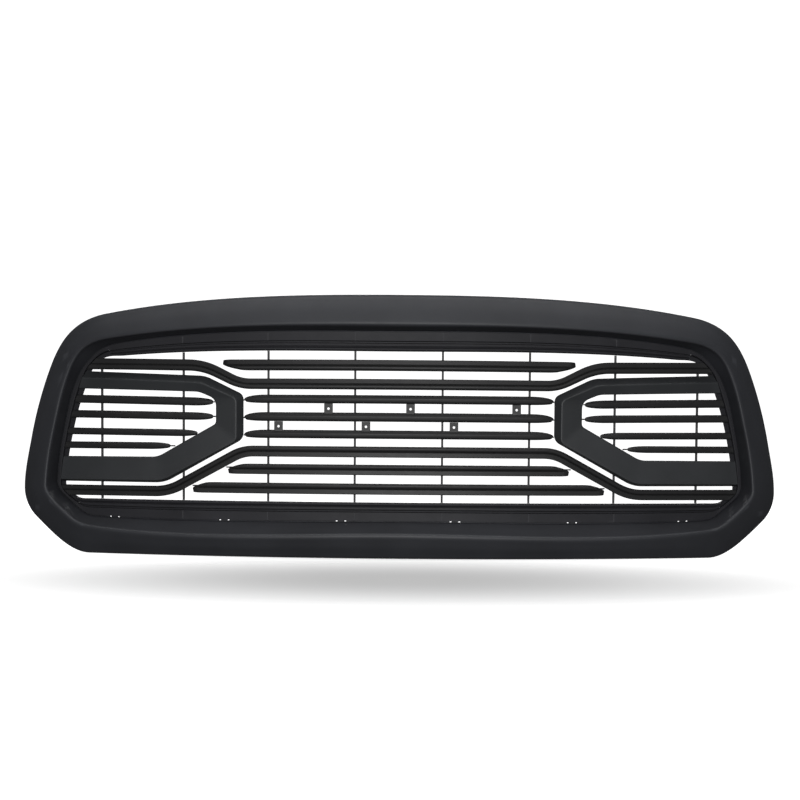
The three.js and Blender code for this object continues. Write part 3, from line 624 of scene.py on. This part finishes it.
def top_tab(x, top):
    """Bodies of a tab that reaches back from the upper skirt, and its hole."""
    half = TOP_TAB["width"] / 2
    front = skirt_rear(x) - TAB_OVERLAP
    rear = skirt_rear(x) + TOP_TAB["reach"]
    root_rear = skirt_rear(x) + edge_run(x, half * 2) + ROOT_CLEARANCE
    plate = block((x - half, front, top - SHELL), (x + half, rear, top), 0.6)
    low_corner = (x - half + 0.4, front + 0.5, top - SHELL + 0.4)
    root = block(low_corner, (x + half - 0.4, root_rear, top + 1), 0.5)
    middle = (x, skirt_rear(x) + TOP_TAB["reach"] / 2, top)
    hole = rod(TOP_TAB["hole"], HOLE_LENGTH["tab"], (0, 0, 1), middle)
    return [plate, root], hole


def foot_tab(x):
    """Bodies of a plate that stands on a foot behind the lower skirt, and its hole."""
    half = FOOT_TAB["width"] / 2
    rear = skirt_rear(x) + edge_run(x, half * 2) + ROOT_CLEARANCE
    front = skirt_rear(abs(x) - half) - TAB_OVERLAP
    low = FOOT_TAB["rise"]
    plate = block((x - half, rear - SHELL, low), (x + half, rear, FOOT_TAB["height"]), 0.6)
    foot = block((x - half, front, low), (x + half, rear, low + SHELL), 0.6)
    hole = rod(FOOT_TAB["hole"], HOLE_LENGTH["foot"], (0, 1, 0), (x, rear, FOOT_TAB["hole_height"]))
    return [plate, foot], hole


TOP_TAB_X = [-170, 170, -400, 400]  # in the order of the spring nuts
FOOT_TAB_X = [-150, 150, -420, 420]
NUT_PROUD = GAP + 1  # a spring nut's upper face above its tab


def surround_shell():
    outlines = [full_outline(half) for half in (RIM_HALF, CREST_HALF, SEAM_HALF, OPENING_HALF)]
    rings = [shell_section(*points) for points in zip(*outlines)]
    shell = make_object("surround_shell_moulding", loft(rings, closed=True))
    bodies = []
    cutters = hook_windows()
    for i, x in enumerate(TOP_TAB_X, 1):
        parts, hole = top_tab(x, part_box(f"spring_nut_{i}")[1].z / MM - NUT_PROUD)
        bodies += parts
        cutters.append(hole)
    for x in FOOT_TAB_X:
        parts, hole = foot_tab(x)
        bodies += parts
        cutters.append(hole)
    combine(shell, "UNION", bodies)
    combine(shell, "DIFFERENCE", cutters)
    finish_piece(shell, SHELL_PLASTIC, "shell_plastic", "surround_shell")


# ---- Insert rails and ribs -----------------------------------------------

def rail(name, seam, opening, profile):
    rings = []
    for a, b in zip(seam, opening):
        rings.append(rounded([(on_insert(a.lerp(b, share), depth), trim) for share, depth, trim in profile]))
    return make_object(name, loft(rings))


def rail_stations(half, start, end):
    """Stations of a rail, moved a little inward at its ends to leave a gap."""
    line = half[start:end + 1]
    if start > 0:
        line[0] = toward(line[0], line[1], GAP)
    if end < len(half) - 1:
        line[-1] = toward(line[-1], line[-2], GAP)
    return line


def both_halves(line, from_middle):
    if from_middle:
        return [mirrored(p) for p in reversed(line[1:])] + line
    return line + [mirrored(p) for p in reversed(line[:-1])]


# Share of the way from seam to opening at each end, depths around the panel.
FIN = dict(width=1.6, front=2.1, proud=0.45, rear=2.2, sunk=1.5, start=0.09, end=0.49)


def panel_fin(x, top):
    """A thin moulded line that runs over a rail's panel behind each rib."""
    line = slice(0, TOP_RAIL_END + 1) if top else slice(SIDE_RAIL_END, None)
    ends = []
    for share in (FIN["start"], FIN["end"]):
        z = crossing(between(SEAM_HALF[line], OPENING_HALF[line], share), abs(x), 0)
        ends.append(Vector((x, z)))
    rings = []
    for point in ends:
        y = on_insert(point, 0).y
        half = FIN["width"] / 2
        low, high = y + FIN["front"] - FIN["proud"], y + FIN["rear"] + FIN["sunk"]
        corners = [(-half, low, 0.3), (half, low, 0.3), (half, high, 0), (-half, high, 0)]
        rings.append(rounded([(Vector((x + dx, depth, point.y)), trim) for dx, depth, trim in corners]))
    return loft(rings)


def insert_rails():
    top = both_halves(rail_stations(SEAM_HALF, 0, TOP_RAIL_END), True)
    top_lip = both_halves(rail_stations(OPENING_HALF, 0, TOP_RAIL_END), True)
    upper = rail("top_rail_moulding", top, top_lip, LIPPED_RAIL)
    combine(upper, "UNION", [panel_fin(side * x, True) for x in RIB_X[:3] for side in (-1, 1)])
    finish_piece(upper, INSERT_PLASTIC, "insert_plastic", "insert_top_rail")

    end = len(SEAM_HALF) - 1
    bottom = both_halves(rail_stations(SEAM_HALF, SIDE_RAIL_END, end), False)
    bottom_lip = both_halves(rail_stations(OPENING_HALF, SIDE_RAIL_END, end), False)
    lower = rail("bottom_rail_moulding", bottom, bottom_lip, LIPPED_RAIL)
    combine(lower, "UNION", [panel_fin(side * x, False) for x in RIB_X[:3] for side in (-1, 1)])
    combine(lower, "DIFFERENCE", hook_windows())
    finish_piece(lower, INSERT_PLASTIC, "insert_plastic", "insert_bottom_rail")

    for name, side in SIDES.items():
        seam = rail_stations(SEAM_HALF, TOP_RAIL_END, SIDE_RAIL_END)
        opening = rail_stations(OPENING_HALF, TOP_RAIL_END, SIDE_RAIL_END)
        if side < 0:
            seam = [mirrored(p) for p in seam]
            opening = [mirrored(p) for p in opening]
        made = rail(f"side_rail_moulding_{name}", seam, opening, PLAIN_RAIL)
        finish_piece(made, INSERT_PLASTIC, "insert_plastic", f"insert_side_rail_{name}")


RIB = dict(front=11.7, depth=7, steps=8)


def ribs():
    """Upright ribs as long as their nodes, with rounded front edges."""
    for i in range(2 * len(RIB_X)):
        node = f"upright_rib_{i + 1}"
        low, high = (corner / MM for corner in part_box(node))
        x = (low.x + high.x) / 2
        half = (high.x - low.x) / 2
        rings = []
        for k in range(RIB["steps"] + 1):
            z = low.z + (high.z - low.z) * k / RIB["steps"]
            front = on_insert(Vector((x, z)), RIB["front"]).y
            rear = RIB["depth"]
            corners = [(-half, 0, 0.9), (half, 0, 0.9), (half, rear, 0.4), (-half, rear, 0.4)]
            rings.append(rounded([(Vector((x + dx, front + dy, z)), trim) for dx, dy, trim in corners]))
        piece = make_object(f"rib_moulding_{i + 1}", loft(rings))
        finish_piece(piece, BLADE_PLASTIC, "insert_plastic", node)


# ---- Bars and blades -----------------------------------------------------

def even_steps(start, end):
    count = math.ceil(abs(end - start) / STATION)
    return [start + (end - start) * i / count for i in range(count + 1)]


def path_normal(path, i):
    along = (path[min(i + 1, len(path) - 1)] - path[max(i - 1, 0)]).normalized()
    return Vector((-along.y, along.x))


def tip_scale(back):
    """Share of the full height at a distance behind a tip: a quarter ellipse on a blunt end."""
    if back >= TIP_LENGTH:
        return 1
    return TIP_SCALE + (1 - TIP_SCALE) * math.sqrt(1 - (1 - back / TIP_LENGTH) ** 2)


def sweep(path, scales, height, side, meets_rail):
    rings = []
    for i, (point, size) in enumerate(zip(path, scales)):
        normal = path_normal(path, i)
        nose = BAR_DEPTH * TIP_NOSE * (1 - size)
        corners = []
        for share, depth, trim in RIDGED:
            spot = point + normal * (share * side * height * size)
            if meets_rail and i == len(path) - 1:
                spot = on_rail(spot)
            deepest = BAR_DEPTH - 0.4 * (1 - depth / BAR_DEPTH)
            corners.append((on_insert(spot, min(depth + nose, deepest)), trim * size))
        rings.append(rounded(corners))
    return loft(rings)


def web(start, end, z):
    """A thin web behind a tip, from one x to another at one height."""
    half = WEB_THICKNESS / 2
    rear = BAR_DEPTH - 0.1
    rings = []
    for x in even_steps(start, end):
        corners = [(-half, WEB_FRONT, 0.6), (half, WEB_FRONT, 0.6), (half, rear, 0), (-half, rear, 0)]
        rings.append(rounded([(on_insert(Vector((x, z + dz)), depth), trim) for dz, depth, trim in corners]))
    return loft(rings)


def badge_tab(x, blade):
    """A small tab on a centre blade, and its hole."""
    height = blade["tab_rise"] + BADGE_TAB["root"]
    z = blade["middle"] + blade["height"] / 2 - BADGE_TAB["root"]
    y = on_insert(Vector((x, z + height / 2)), BADGE_TAB["front"]).y
    half = BADGE_TAB["width"] / 2
    plate = block((x - half, y, z), (x + half, y + BADGE_TAB["thickness"], z + height), 0.7, 3)
    boss_centre = (x, y, z + height / 2)
    radius, sunk, proud = BADGE_BOSS["radius"], BADGE_BOSS["sunk"], BADGE_BOSS["proud"]
    outline = [(0, -sunk, 0), (radius, -sunk, 0), (radius, proud, 0.4), (0, proud, 0)]
    boss = lathe(outline, (0, -1, 0), boss_centre, 32)
    hole = rod(BADGE_TAB["hole"], HOLE_LENGTH["tab"], (0, 1, 0), boss_centre)
    return [plate, boss], hole


def centre_blades():
    for name, blade in CENTRE_BLADES.items():
        full = BLADE_TIP_X - TIP_LENGTH
        taper = [(back - BLADE_TIP_X, tip_scale(back)) for back in TIP_BACKS]
        stations = taper + [(x, 1) for x in even_steps(-full, full)]
        stations += [(-x, size) for x, size in reversed(taper)]
        path = [Vector((x, blade["middle"] - TIP_DROP * (1 - size))) for x, size in stations]
        body = sweep(path, [size for _, size in stations], blade["height"], 1, False)
        piece = make_object(f"{name}_moulding", body)
        start = BLADE_TIP_X - WEB_OVERLAP
        added = [web(side * start, side * BLADE_WEB_X, blade["middle"] - TIP_WEB_DROP) for side in (-1, 1)]
        holes = []
        for x in blade.get("tabs", ()):
            parts, hole = badge_tab(x, blade)
            added += parts
            holes.append(hole)
        combine(piece, "UNION", added)
        combine(piece, "DIFFERENCE", holes)
        finish_piece(piece, BLADE_PLASTIC, "blade_plastic", name)


def side_blades():
    for name, side in SIDES.items():
        for i, blade in enumerate(SIDE_BLADES, 1):
            edge = crossing(BAR_END_LINE, blade["outer"], 1)
            slope = (blade["outer"] - blade["inner"]) / (edge - blade["tip"])
            xs = [blade["tip"] + back for back in TIP_BACKS] + even_steps(blade["tip"] + TIP_LENGTH, edge)
            path = [Vector((side * x, blade["inner"] + (x - blade["tip"]) * slope)) for x in xs]
            scales = [tip_scale(x - blade["tip"]) for x in xs]
            body = sweep(path, scales, blade["height"], side, True)
            piece = make_object(f"side_blade_moulding_{name}_{i}", body)
            web_start = side * (blade["tip"] + WEB_OVERLAP)
            combine(piece, "UNION", [web(web_start, side * blade["web"], blade["inner"])])
            finish_piece(piece, BLADE_PLASTIC, "blade_plastic", f"side_blade_{name}_{i}")


def beaded_ring(spots_and_depths):
    return rounded([(on_insert(spot, depth), trim) for spot, depth, trim in spots_and_depths])


def cut_back(share, slant):
    """How far a slanted end lies back; the share is 0 at the longer edge and 1 at the shorter."""
    if share < SLANT_BLUNT:
        return SLANT_CORNER * (1 - share / SLANT_BLUNT) ** 2
    return slant * ((share - SLANT_BLUNT) / (1 - SLANT_BLUNT)) ** SLANT_CURVE


def slanted_bars():
    """Straight bars with blunt, slanted ends."""
    for name, bar in SLANTED_BARS.items():
        height = bar["high"] - bar["low"]
        middle = (bar["high"] + bar["low"]) / 2
        long_half = max(bar["half_low"], bar["half_high"])
        slant = abs(bar["half_high"] - bar["half_low"])
        long_side = math.copysign(1, bar["half_high"] - bar["half_low"])
        straight = long_half - slant - SLANT_NOSE

        def end_ring(side, back, fall):
            scale = 1 - (1 - SLANT_NOSE_SCALE) * fall
            spots = []
            for share, depth, trim in BEADED:
                rise = -share * bar["bead"] * height
                x = long_half - cut_back(0.5 - long_side * rise / height, slant) - back
                front = max(depth, SLANT_NOSE_DEPTH * fall)
                spots.append((Vector((side * x, middle + rise * scale)), front, trim))
            return beaded_ring(spots)

        shares = [k / SLANT_NOSE_STEPS for k in range(SLANT_NOSE_STEPS + 1)]
        noses = [(SLANT_NOSE * (1 - share), share ** 2) for share in shares]
        rings = [end_ring(-1, back, fall) for back, fall in reversed(noses)]
        for x in even_steps(STATION - straight, straight - STATION):
            rings.append(beaded_ring([
                (Vector((x, middle - share * bar["bead"] * height)), depth, trim)
                for share, depth, trim in BEADED
            ]))
        rings += [end_ring(1, back, fall) for back, fall in noses]
        piece = make_object(f"{name}_moulding", loft(rings))
        if "web" in bar:
            start = long_half - slant / 2 - WEB_OVERLAP
            z = bar["high"] - WEB_DROP
            combine(piece, "UNION", [web(side * start, side * bar["web"], z) for side in (-1, 1)])
        finish_piece(piece, BLADE_PLASTIC, "blade_plastic", name)


def rounded_path(start, corners, end, straight_steps):
    """A front-view path with rounded corners; its stations match its fellows'."""
    points = [start]
    ends = [start] + [Vector(corner[:2]) for corner in corners] + [end]

    def add_straight(to, count):
        origin = points[-1]
        points.extend(origin.lerp(to, i / count) for i in range(1, count + 1))

    for i, (*_, radius) in enumerate(corners):
        corner = ends[i + 1]
        into = (corner - ends[i]).normalized()
        out = (ends[i + 2] - corner).normalized()
        trim = radius * math.tan(into.angle(out) / 2)
        add_straight(corner - into * trim, straight_steps[i])
        enter, leave = points[-1], corner + out * trim
        for k in range(1, ARC_STEPS + 1):
            t = k / ARC_STEPS
            points.append(enter.lerp(corner, t).lerp(corner.lerp(leave, t), t))
    add_straight(end, straight_steps[-1])
    return points


def smoothstep(value, low, high):
    t = min(max((value - low) / (high - low), 0), 1)
    return t * t * (3 - 2 * t)


def bent_bars():
    for name, bar in BENT_BARS.items():
        corners = bar["corners"]
        edge = Vector((crossing(BAR_END_LINE, bar["end"], 1), bar["end"]))
        right = rounded_path(Vector((0, corners[0][1])), corners, edge, [13, 3, 9])
        path = [mirrored(p) for p in reversed(right[1:])] + right
        rings = []
        for i, point in enumerate(path):
            normal = path_normal(path, i)
            bent = smoothstep(abs(point.x), corners[0][0], corners[1][0])
            girth = bar["height"] + (bar["slope_height"] - bar["height"]) * bent
            at_end = i in (0, len(path) - 1)
            spots = []
            for share, depth, trim in BEADED:
                spot = point + normal * (-share * bar["bead"] * girth)
                spots.append((on_rail(spot) if at_end else spot, depth, trim))
            rings.append(beaded_ring(spots))
        piece = make_object(f"{name}_moulding", loft(rings))
        finish_piece(piece, BLADE_PLASTIC, "blade_plastic", name)


# ---- Arrow frames --------------------------------------------------------

def arrow_edge(edge):
    start = Vector((crossing(BAR_END_LINE, edge["start"], 1), edge["start"]))
    end = Vector((crossing(BAR_END_LINE, edge["end"], 1), edge["end"]))
    return rounded_path(start, edge["corners"], end, ARROW_STEPS)


def arrow_frames():
    edges = [arrow_edge(ARROW[name]) for name in ("outer", "ridge", "inner")]
    for name, side in SIDES.items():
        rings = []
        for outer, ridge, inner in zip(*edges):
            if side < 0:
                outer, ridge, inner = mirrored(outer), mirrored(ridge), mirrored(inner)
            corners = [
                (outer, BAR_DEPTH, 0.4),
                (outer, 7.5, 0.6),
                (outer.lerp(ridge, 0.12), 6, 1),
                (outer.lerp(ridge, 0.9), -ARROW_PROUD + 0.8, 1.2),
                (ridge, -ARROW_PROUD, 1),
                (ridge.lerp(inner, 0.08), -ARROW_PROUD + 0.3, 2),
                (ridge.lerp(inner, 0.93), -1.2, 1.2),
                (ridge.lerp(inner, 0.98), -0.4, 0.6),
                (inner, 1.2, 0.9),
                (inner, BAR_DEPTH, 0.4),
            ]
            rings.append(rounded([(on_insert(point, depth), trim) for point, depth, trim in corners]))
        piece = make_object(f"arrow_frame_moulding_{name}", loft(rings))
        finish_piece(piece, ARROW_PLASTIC, "arrow_plastic", f"arrow_frame_{name}")


# ---- Fasteners -----------------------------------------------------------

SCREW = dict(head=4.2, head_height=2.6, shank=1.9, shank_length=4.6, recess=1.1, recess_width=0.9)


SCREW_COUNT = 10


def screws():
    """Pan-head screws with a cross recess, each where its node is."""
    s = SCREW
    for i in range(1, SCREW_COUNT + 1):
        node = f"insert_screw_{i}"
        low, high = (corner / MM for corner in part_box(node))
        x, z = (low.x + high.x) / 2, (low.z + high.z) / 2
        seat = low.y + s["shank_length"]
        body = lathe(
            [
                (0, -s["shank_length"], 0), (s["shank"] * 0.6, -s["shank_length"], 0.3),
                (s["shank"], -s["shank_length"] + 1, 0.4), (s["shank"], 0, 0.2), (s["head"], 0, 0.25),
                (s["head"], s["head_height"] * 0.55, 1), (s["head"] * 0.55, s["head_height"], 1.2),
                (0, s["head_height"], 0),
            ],
            (0, 1, 0), (x, seat, z),
        )
        piece = make_object(f"screw_{i}", body)
        top = seat + s["head_height"]
        arm, half = s["head"] * 0.52, s["recess_width"] / 2
        cross = [
            block((x - arm, top - s["recess"], z - half), (x + arm, top + 2, z + half), 0.15, 1),
            block((x - half, top - s["recess"], z - arm), (x + half, top + 2, z + arm), 0.15, 1),
        ]
        combine(piece, "DIFFERENCE", cross)
        finish_piece(piece, STEEL, "zinc_steel", node)


SPRING_NUT = dict(sheet=1, length=19, width=16, collar=5, collar_height=4.3, bore=3)


def spring_nuts():
    """Folded sheet nuts with a drawn collar, each where its node is."""
    n = SPRING_NUT
    for i in range(1, len(TOP_TAB_X) + 1):
        node = f"spring_nut_{i}"
        low, high = (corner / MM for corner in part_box(node))
        x = (low.x + high.x) / 2
        top = high.z
        fold = high.y
        under = top - 2 * n["sheet"] - SHELL - 2 * GAP
        open_end = fold - n["sheet"] - n["length"]
        rings = []
        for dx in (-n["width"] / 2, n["width"] / 2):
            corners = [
                (open_end, top, 0.3), (fold, top, 1.6), (fold, under, 1.6), (open_end, under, 0.3),
                (open_end, under + n["sheet"], 0.3), (fold - n["sheet"], under + n["sheet"], 0.8),
                (fold - n["sheet"], top - n["sheet"], 0.8), (open_end, top - n["sheet"], 0.3),
            ]
            rings.append(rounded([(Vector((x + dx, y, z)), trim) for y, z, trim in corners]))
        piece = make_object(f"sheet_nut_{i}", loft(rings))
        hole_y = skirt_rear(x) + TOP_TAB["reach"] / 2
        collar = lathe(
            [(0, 0, 0), (n["collar"] + 0.6, 0, 0), (n["collar"], 0.8, 0.5),
             (n["collar"], n["collar_height"], 0.5), (0, n["collar_height"], 0)],
            (0, 0, -1), (x, hole_y, under + n["sheet"] / 2),
        )
        combine(piece, "UNION", [collar])
        bore = rod(n["bore"], HOLE_LENGTH["nut"], (0, 0, 1), (x, hole_y, top))
        combine(piece, "DIFFERENCE", [bore])
        finish_piece(piece, STEEL, "zinc_steel", node)


CLIP = dict(head=7.5, head_height=3, shank=3.6, panel_room=2.6, barb=0.9, slit=0.5)


def push_clips():
    """Push clips with a slotted head and a split shank, each where its node is."""
    c = CLIP
    for i in range(1, len(FOOT_TAB_X) + 1):
        node = f"push_clip_{i}"
        low, high = (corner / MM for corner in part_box(node))
        x, z = (low.x + high.x) / 2, (low.z + high.z) / 2
        seat = low.y + c["head_height"]
        shank, head, slit = c["shank"], c["head"], c["slit"]
        grip = SHELL + c["panel_room"] + GAP
        body = lathe(
            [
                (0, -c["head_height"], 0), (5, -c["head_height"], 0.8), (head, -1.6, 0.8),
                (head, 0, 0.3), (shank, 0, 0.2), (shank, grip, 0.3),
                (shank + c["barb"], grip + 0.4, 0.4), (shank - 1.4, grip + 8, 1), (0, grip + 10, 0),
            ],
            (0, 1, 0), (x, seat, z),
        )
        piece = make_object(f"clip_{i}", body)
        cuts = [
            block((x - slit, seat + 1, z - 6), (x + slit, seat + 30, z + 6), 0.1, 1),
            block((x - 6, seat + 1, z - slit), (x + 6, seat + 30, z + slit), 0.1, 1),
            block((x - 3, seat - 4, z - 0.7), (x + 3, seat - 1.9, z + 0.7), 0.2, 1),
        ]
        combine(piece, "DIFFERENCE", cuts)
        finish_piece(piece, CLIP_PLASTIC, "clip_plastic", node)


# ---- Stage, light and camera ---------------------------------------------

PAINTED_SHADOW_GLOW = 0.05  # radiance of the sweep's own glow in the middle of the dim patch, which is a painted shadow
BACKDROP_GLOW = 1.05  # and outside it
SHADE_MIDDLE = (0.01, -0.53, 0)  # middle of the painted shadow, where the glow is least
SHADE_WIDTH = 1.3  # the painted shadow's width, as a multiple of its depth
SHADE_INNER, SHADE_OUTER = 0.05, 0.78  # metres over which the glow rises out of the painted shadow
SWEEP_GREY = 0.54


def stage_material():
    """Pale and matt, with a glow that is dim on a patch of floor before the part: a painted shadow.

    The patch stands for most of the part's soft shadow. It lies where it does in
    the world, so from the side it is seen apart from the part.
    """
    material = bpy.data.materials.new("pale_sweep")
    material.use_nodes = True
    tree, shader, add = node_tools(material)
    shader.inputs["Base Color"].default_value = (SWEEP_GREY, SWEEP_GREY, SWEEP_GREY, 1)
    shader.inputs["Roughness"].default_value = 0.9
    shader.inputs["Specular IOR Level"].default_value = 0.1
    shader.inputs["Emission Color"].default_value = (1, 1, 1, 1)
    position = add("ShaderNodeNewGeometry")
    around = add("ShaderNodeVectorMath")
    around.operation = "SUBTRACT"
    around.inputs[1].default_value = SHADE_MIDDLE
    tree.links.new(position.outputs["Position"], around.inputs[0])
    squeezed = add("ShaderNodeVectorMath")
    squeezed.operation = "MULTIPLY"
    squeezed.inputs[1].default_value = (1 / SHADE_WIDTH, 1, 1)
    tree.links.new(around.outputs["Vector"], squeezed.inputs[0])
    distance = add("ShaderNodeVectorMath")
    distance.operation = "LENGTH"
    tree.links.new(squeezed.outputs["Vector"], distance.inputs[0])
    # Painted shadow: the glow is least on the patch before the part and rises away from it.
    level = add("ShaderNodeMapRange", From_Min=SHADE_INNER, From_Max=SHADE_OUTER)
    level.interpolation_type = "SMOOTHSTEP"
    level.inputs["To Min"].default_value = PAINTED_SHADOW_GLOW
    level.inputs["To Max"].default_value = BACKDROP_GLOW
    tree.links.new(distance.outputs["Value"], level.inputs["Value"])
    tree.links.new(level.outputs["Result"], shader.inputs["Emission Strength"])
    return material


def stage():
    """A pale floor that curves up into a backdrop far behind."""
    bm = bmesh.new()
    half_width, front, back, radius, top = 14, -9, 7, 3, 9
    curve_steps = 16
    line = [(front, 0), (back - radius, 0)]
    for k in range(1, curve_steps + 1):
        angle = math.pi / 2 * k / curve_steps
        line.append((back - radius + radius * math.sin(angle), radius - radius * math.cos(angle)))
    line.append((back, top))
    rows = [[bm.verts.new((x, y, z)) for x in (-half_width, half_width)] for y, z in line]
    for here, ahead in zip(rows, rows[1:]):
        bm.faces.new((here[0], here[1], ahead[1], ahead[0]))
    backdrop = make_object("pale_sweep", bm)
    backdrop.data.shade_smooth()
    backdrop.data.materials.append(stage_material())
    # Only the lamps and the world light the part, so that its edges stay dark
    # against the white; the sweep neither lights it nor shows in it.
    backdrop.visible_diffuse = False
    backdrop.visible_glossy = False


def area_light(name, place_at, look_at, size, energy):
    data = bpy.data.lights.new(name, "AREA")
    data.shape = "RECTANGLE"
    data.size, data.size_y = size
    data.energy = energy
    lamp = bpy.data.objects.new(name, data)
    lamp.location = place_at
    lamp.rotation_euler = (Vector(look_at) - Vector(place_at)).to_track_quat("-Z", "Y").to_euler()
    bpy.context.scene.collection.objects.link(lamp)


WORLD = 0.1
TOP_WATTS = 67
FRONT_WATTS = 62
LOW_WATTS = 56
BACK_WATTS = 25


def lights():
    world = bpy.data.worlds.new("studio")
    bpy.context.scene.world = world
    world.use_nodes = True
    background = world.node_tree.nodes["Background"]
    background.inputs["Color"].default_value = (1, 1, 1, 1)
    background.inputs["Strength"].default_value = WORLD
    area_light("top_soft", (0, -0.65, 2.9), (0, 0, 0.2), (4.2, 0.7), TOP_WATTS)
    area_light("front_soft", (0, -3.9, 0.7), (0, 0, 0.2), (1.8, 1.0), FRONT_WATTS)
    area_light("low_soft", (0, -3.4, 0.14), (0, 0, 0.25), (1.2, 0.16), LOW_WATTS)
    area_light("back_soft", (0, 2.6, 1.5), (0, -0.5, 0), (2.4, 0.6), BACK_WATTS)


CAMERA_DISTANCE = 3.1046
CAMERA_HEIGHT = 0.19
CAMERA_LENS = 85.17  # mm, on a 36 mm sensor
CAMERA_YAW = 0.00828  # radians to the left
CAMERA_ROLL = 0.00809
CAMERA_SHIFT = (0.0015, 0.0503)
SENSOR = 36


def camera():
    data = bpy.data.cameras.new("photo_view")
    data.sensor_width = SENSOR
    data.lens = CAMERA_LENS
    data.shift_x, data.shift_y = CAMERA_SHIFT
    made = bpy.data.objects.new("photo_view", data)
    made.location = (CAMERA_DISTANCE * math.tan(CAMERA_YAW), -CAMERA_DISTANCE, CAMERA_HEIGHT)
    level = Vector((-math.sin(CAMERA_YAW), math.cos(CAMERA_YAW), 0)).to_track_quat("-Z", "Y")
    made.rotation_euler = (level.to_matrix() @ Matrix.Rotation(CAMERA_ROLL, 3, "Z")).to_euler()
    bpy.context.scene.collection.objects.link(made)
    bpy.context.scene.camera = made


bpy.context.scene.view_settings.view_transform = "Standard"
camera()
lights()
stage()
surround_shell()
insert_rails()
ribs()
slanted_bars()
bent_bars()
centre_blades()
side_blades()
arrow_frames()
screws()
spring_nuts()
push_clips()
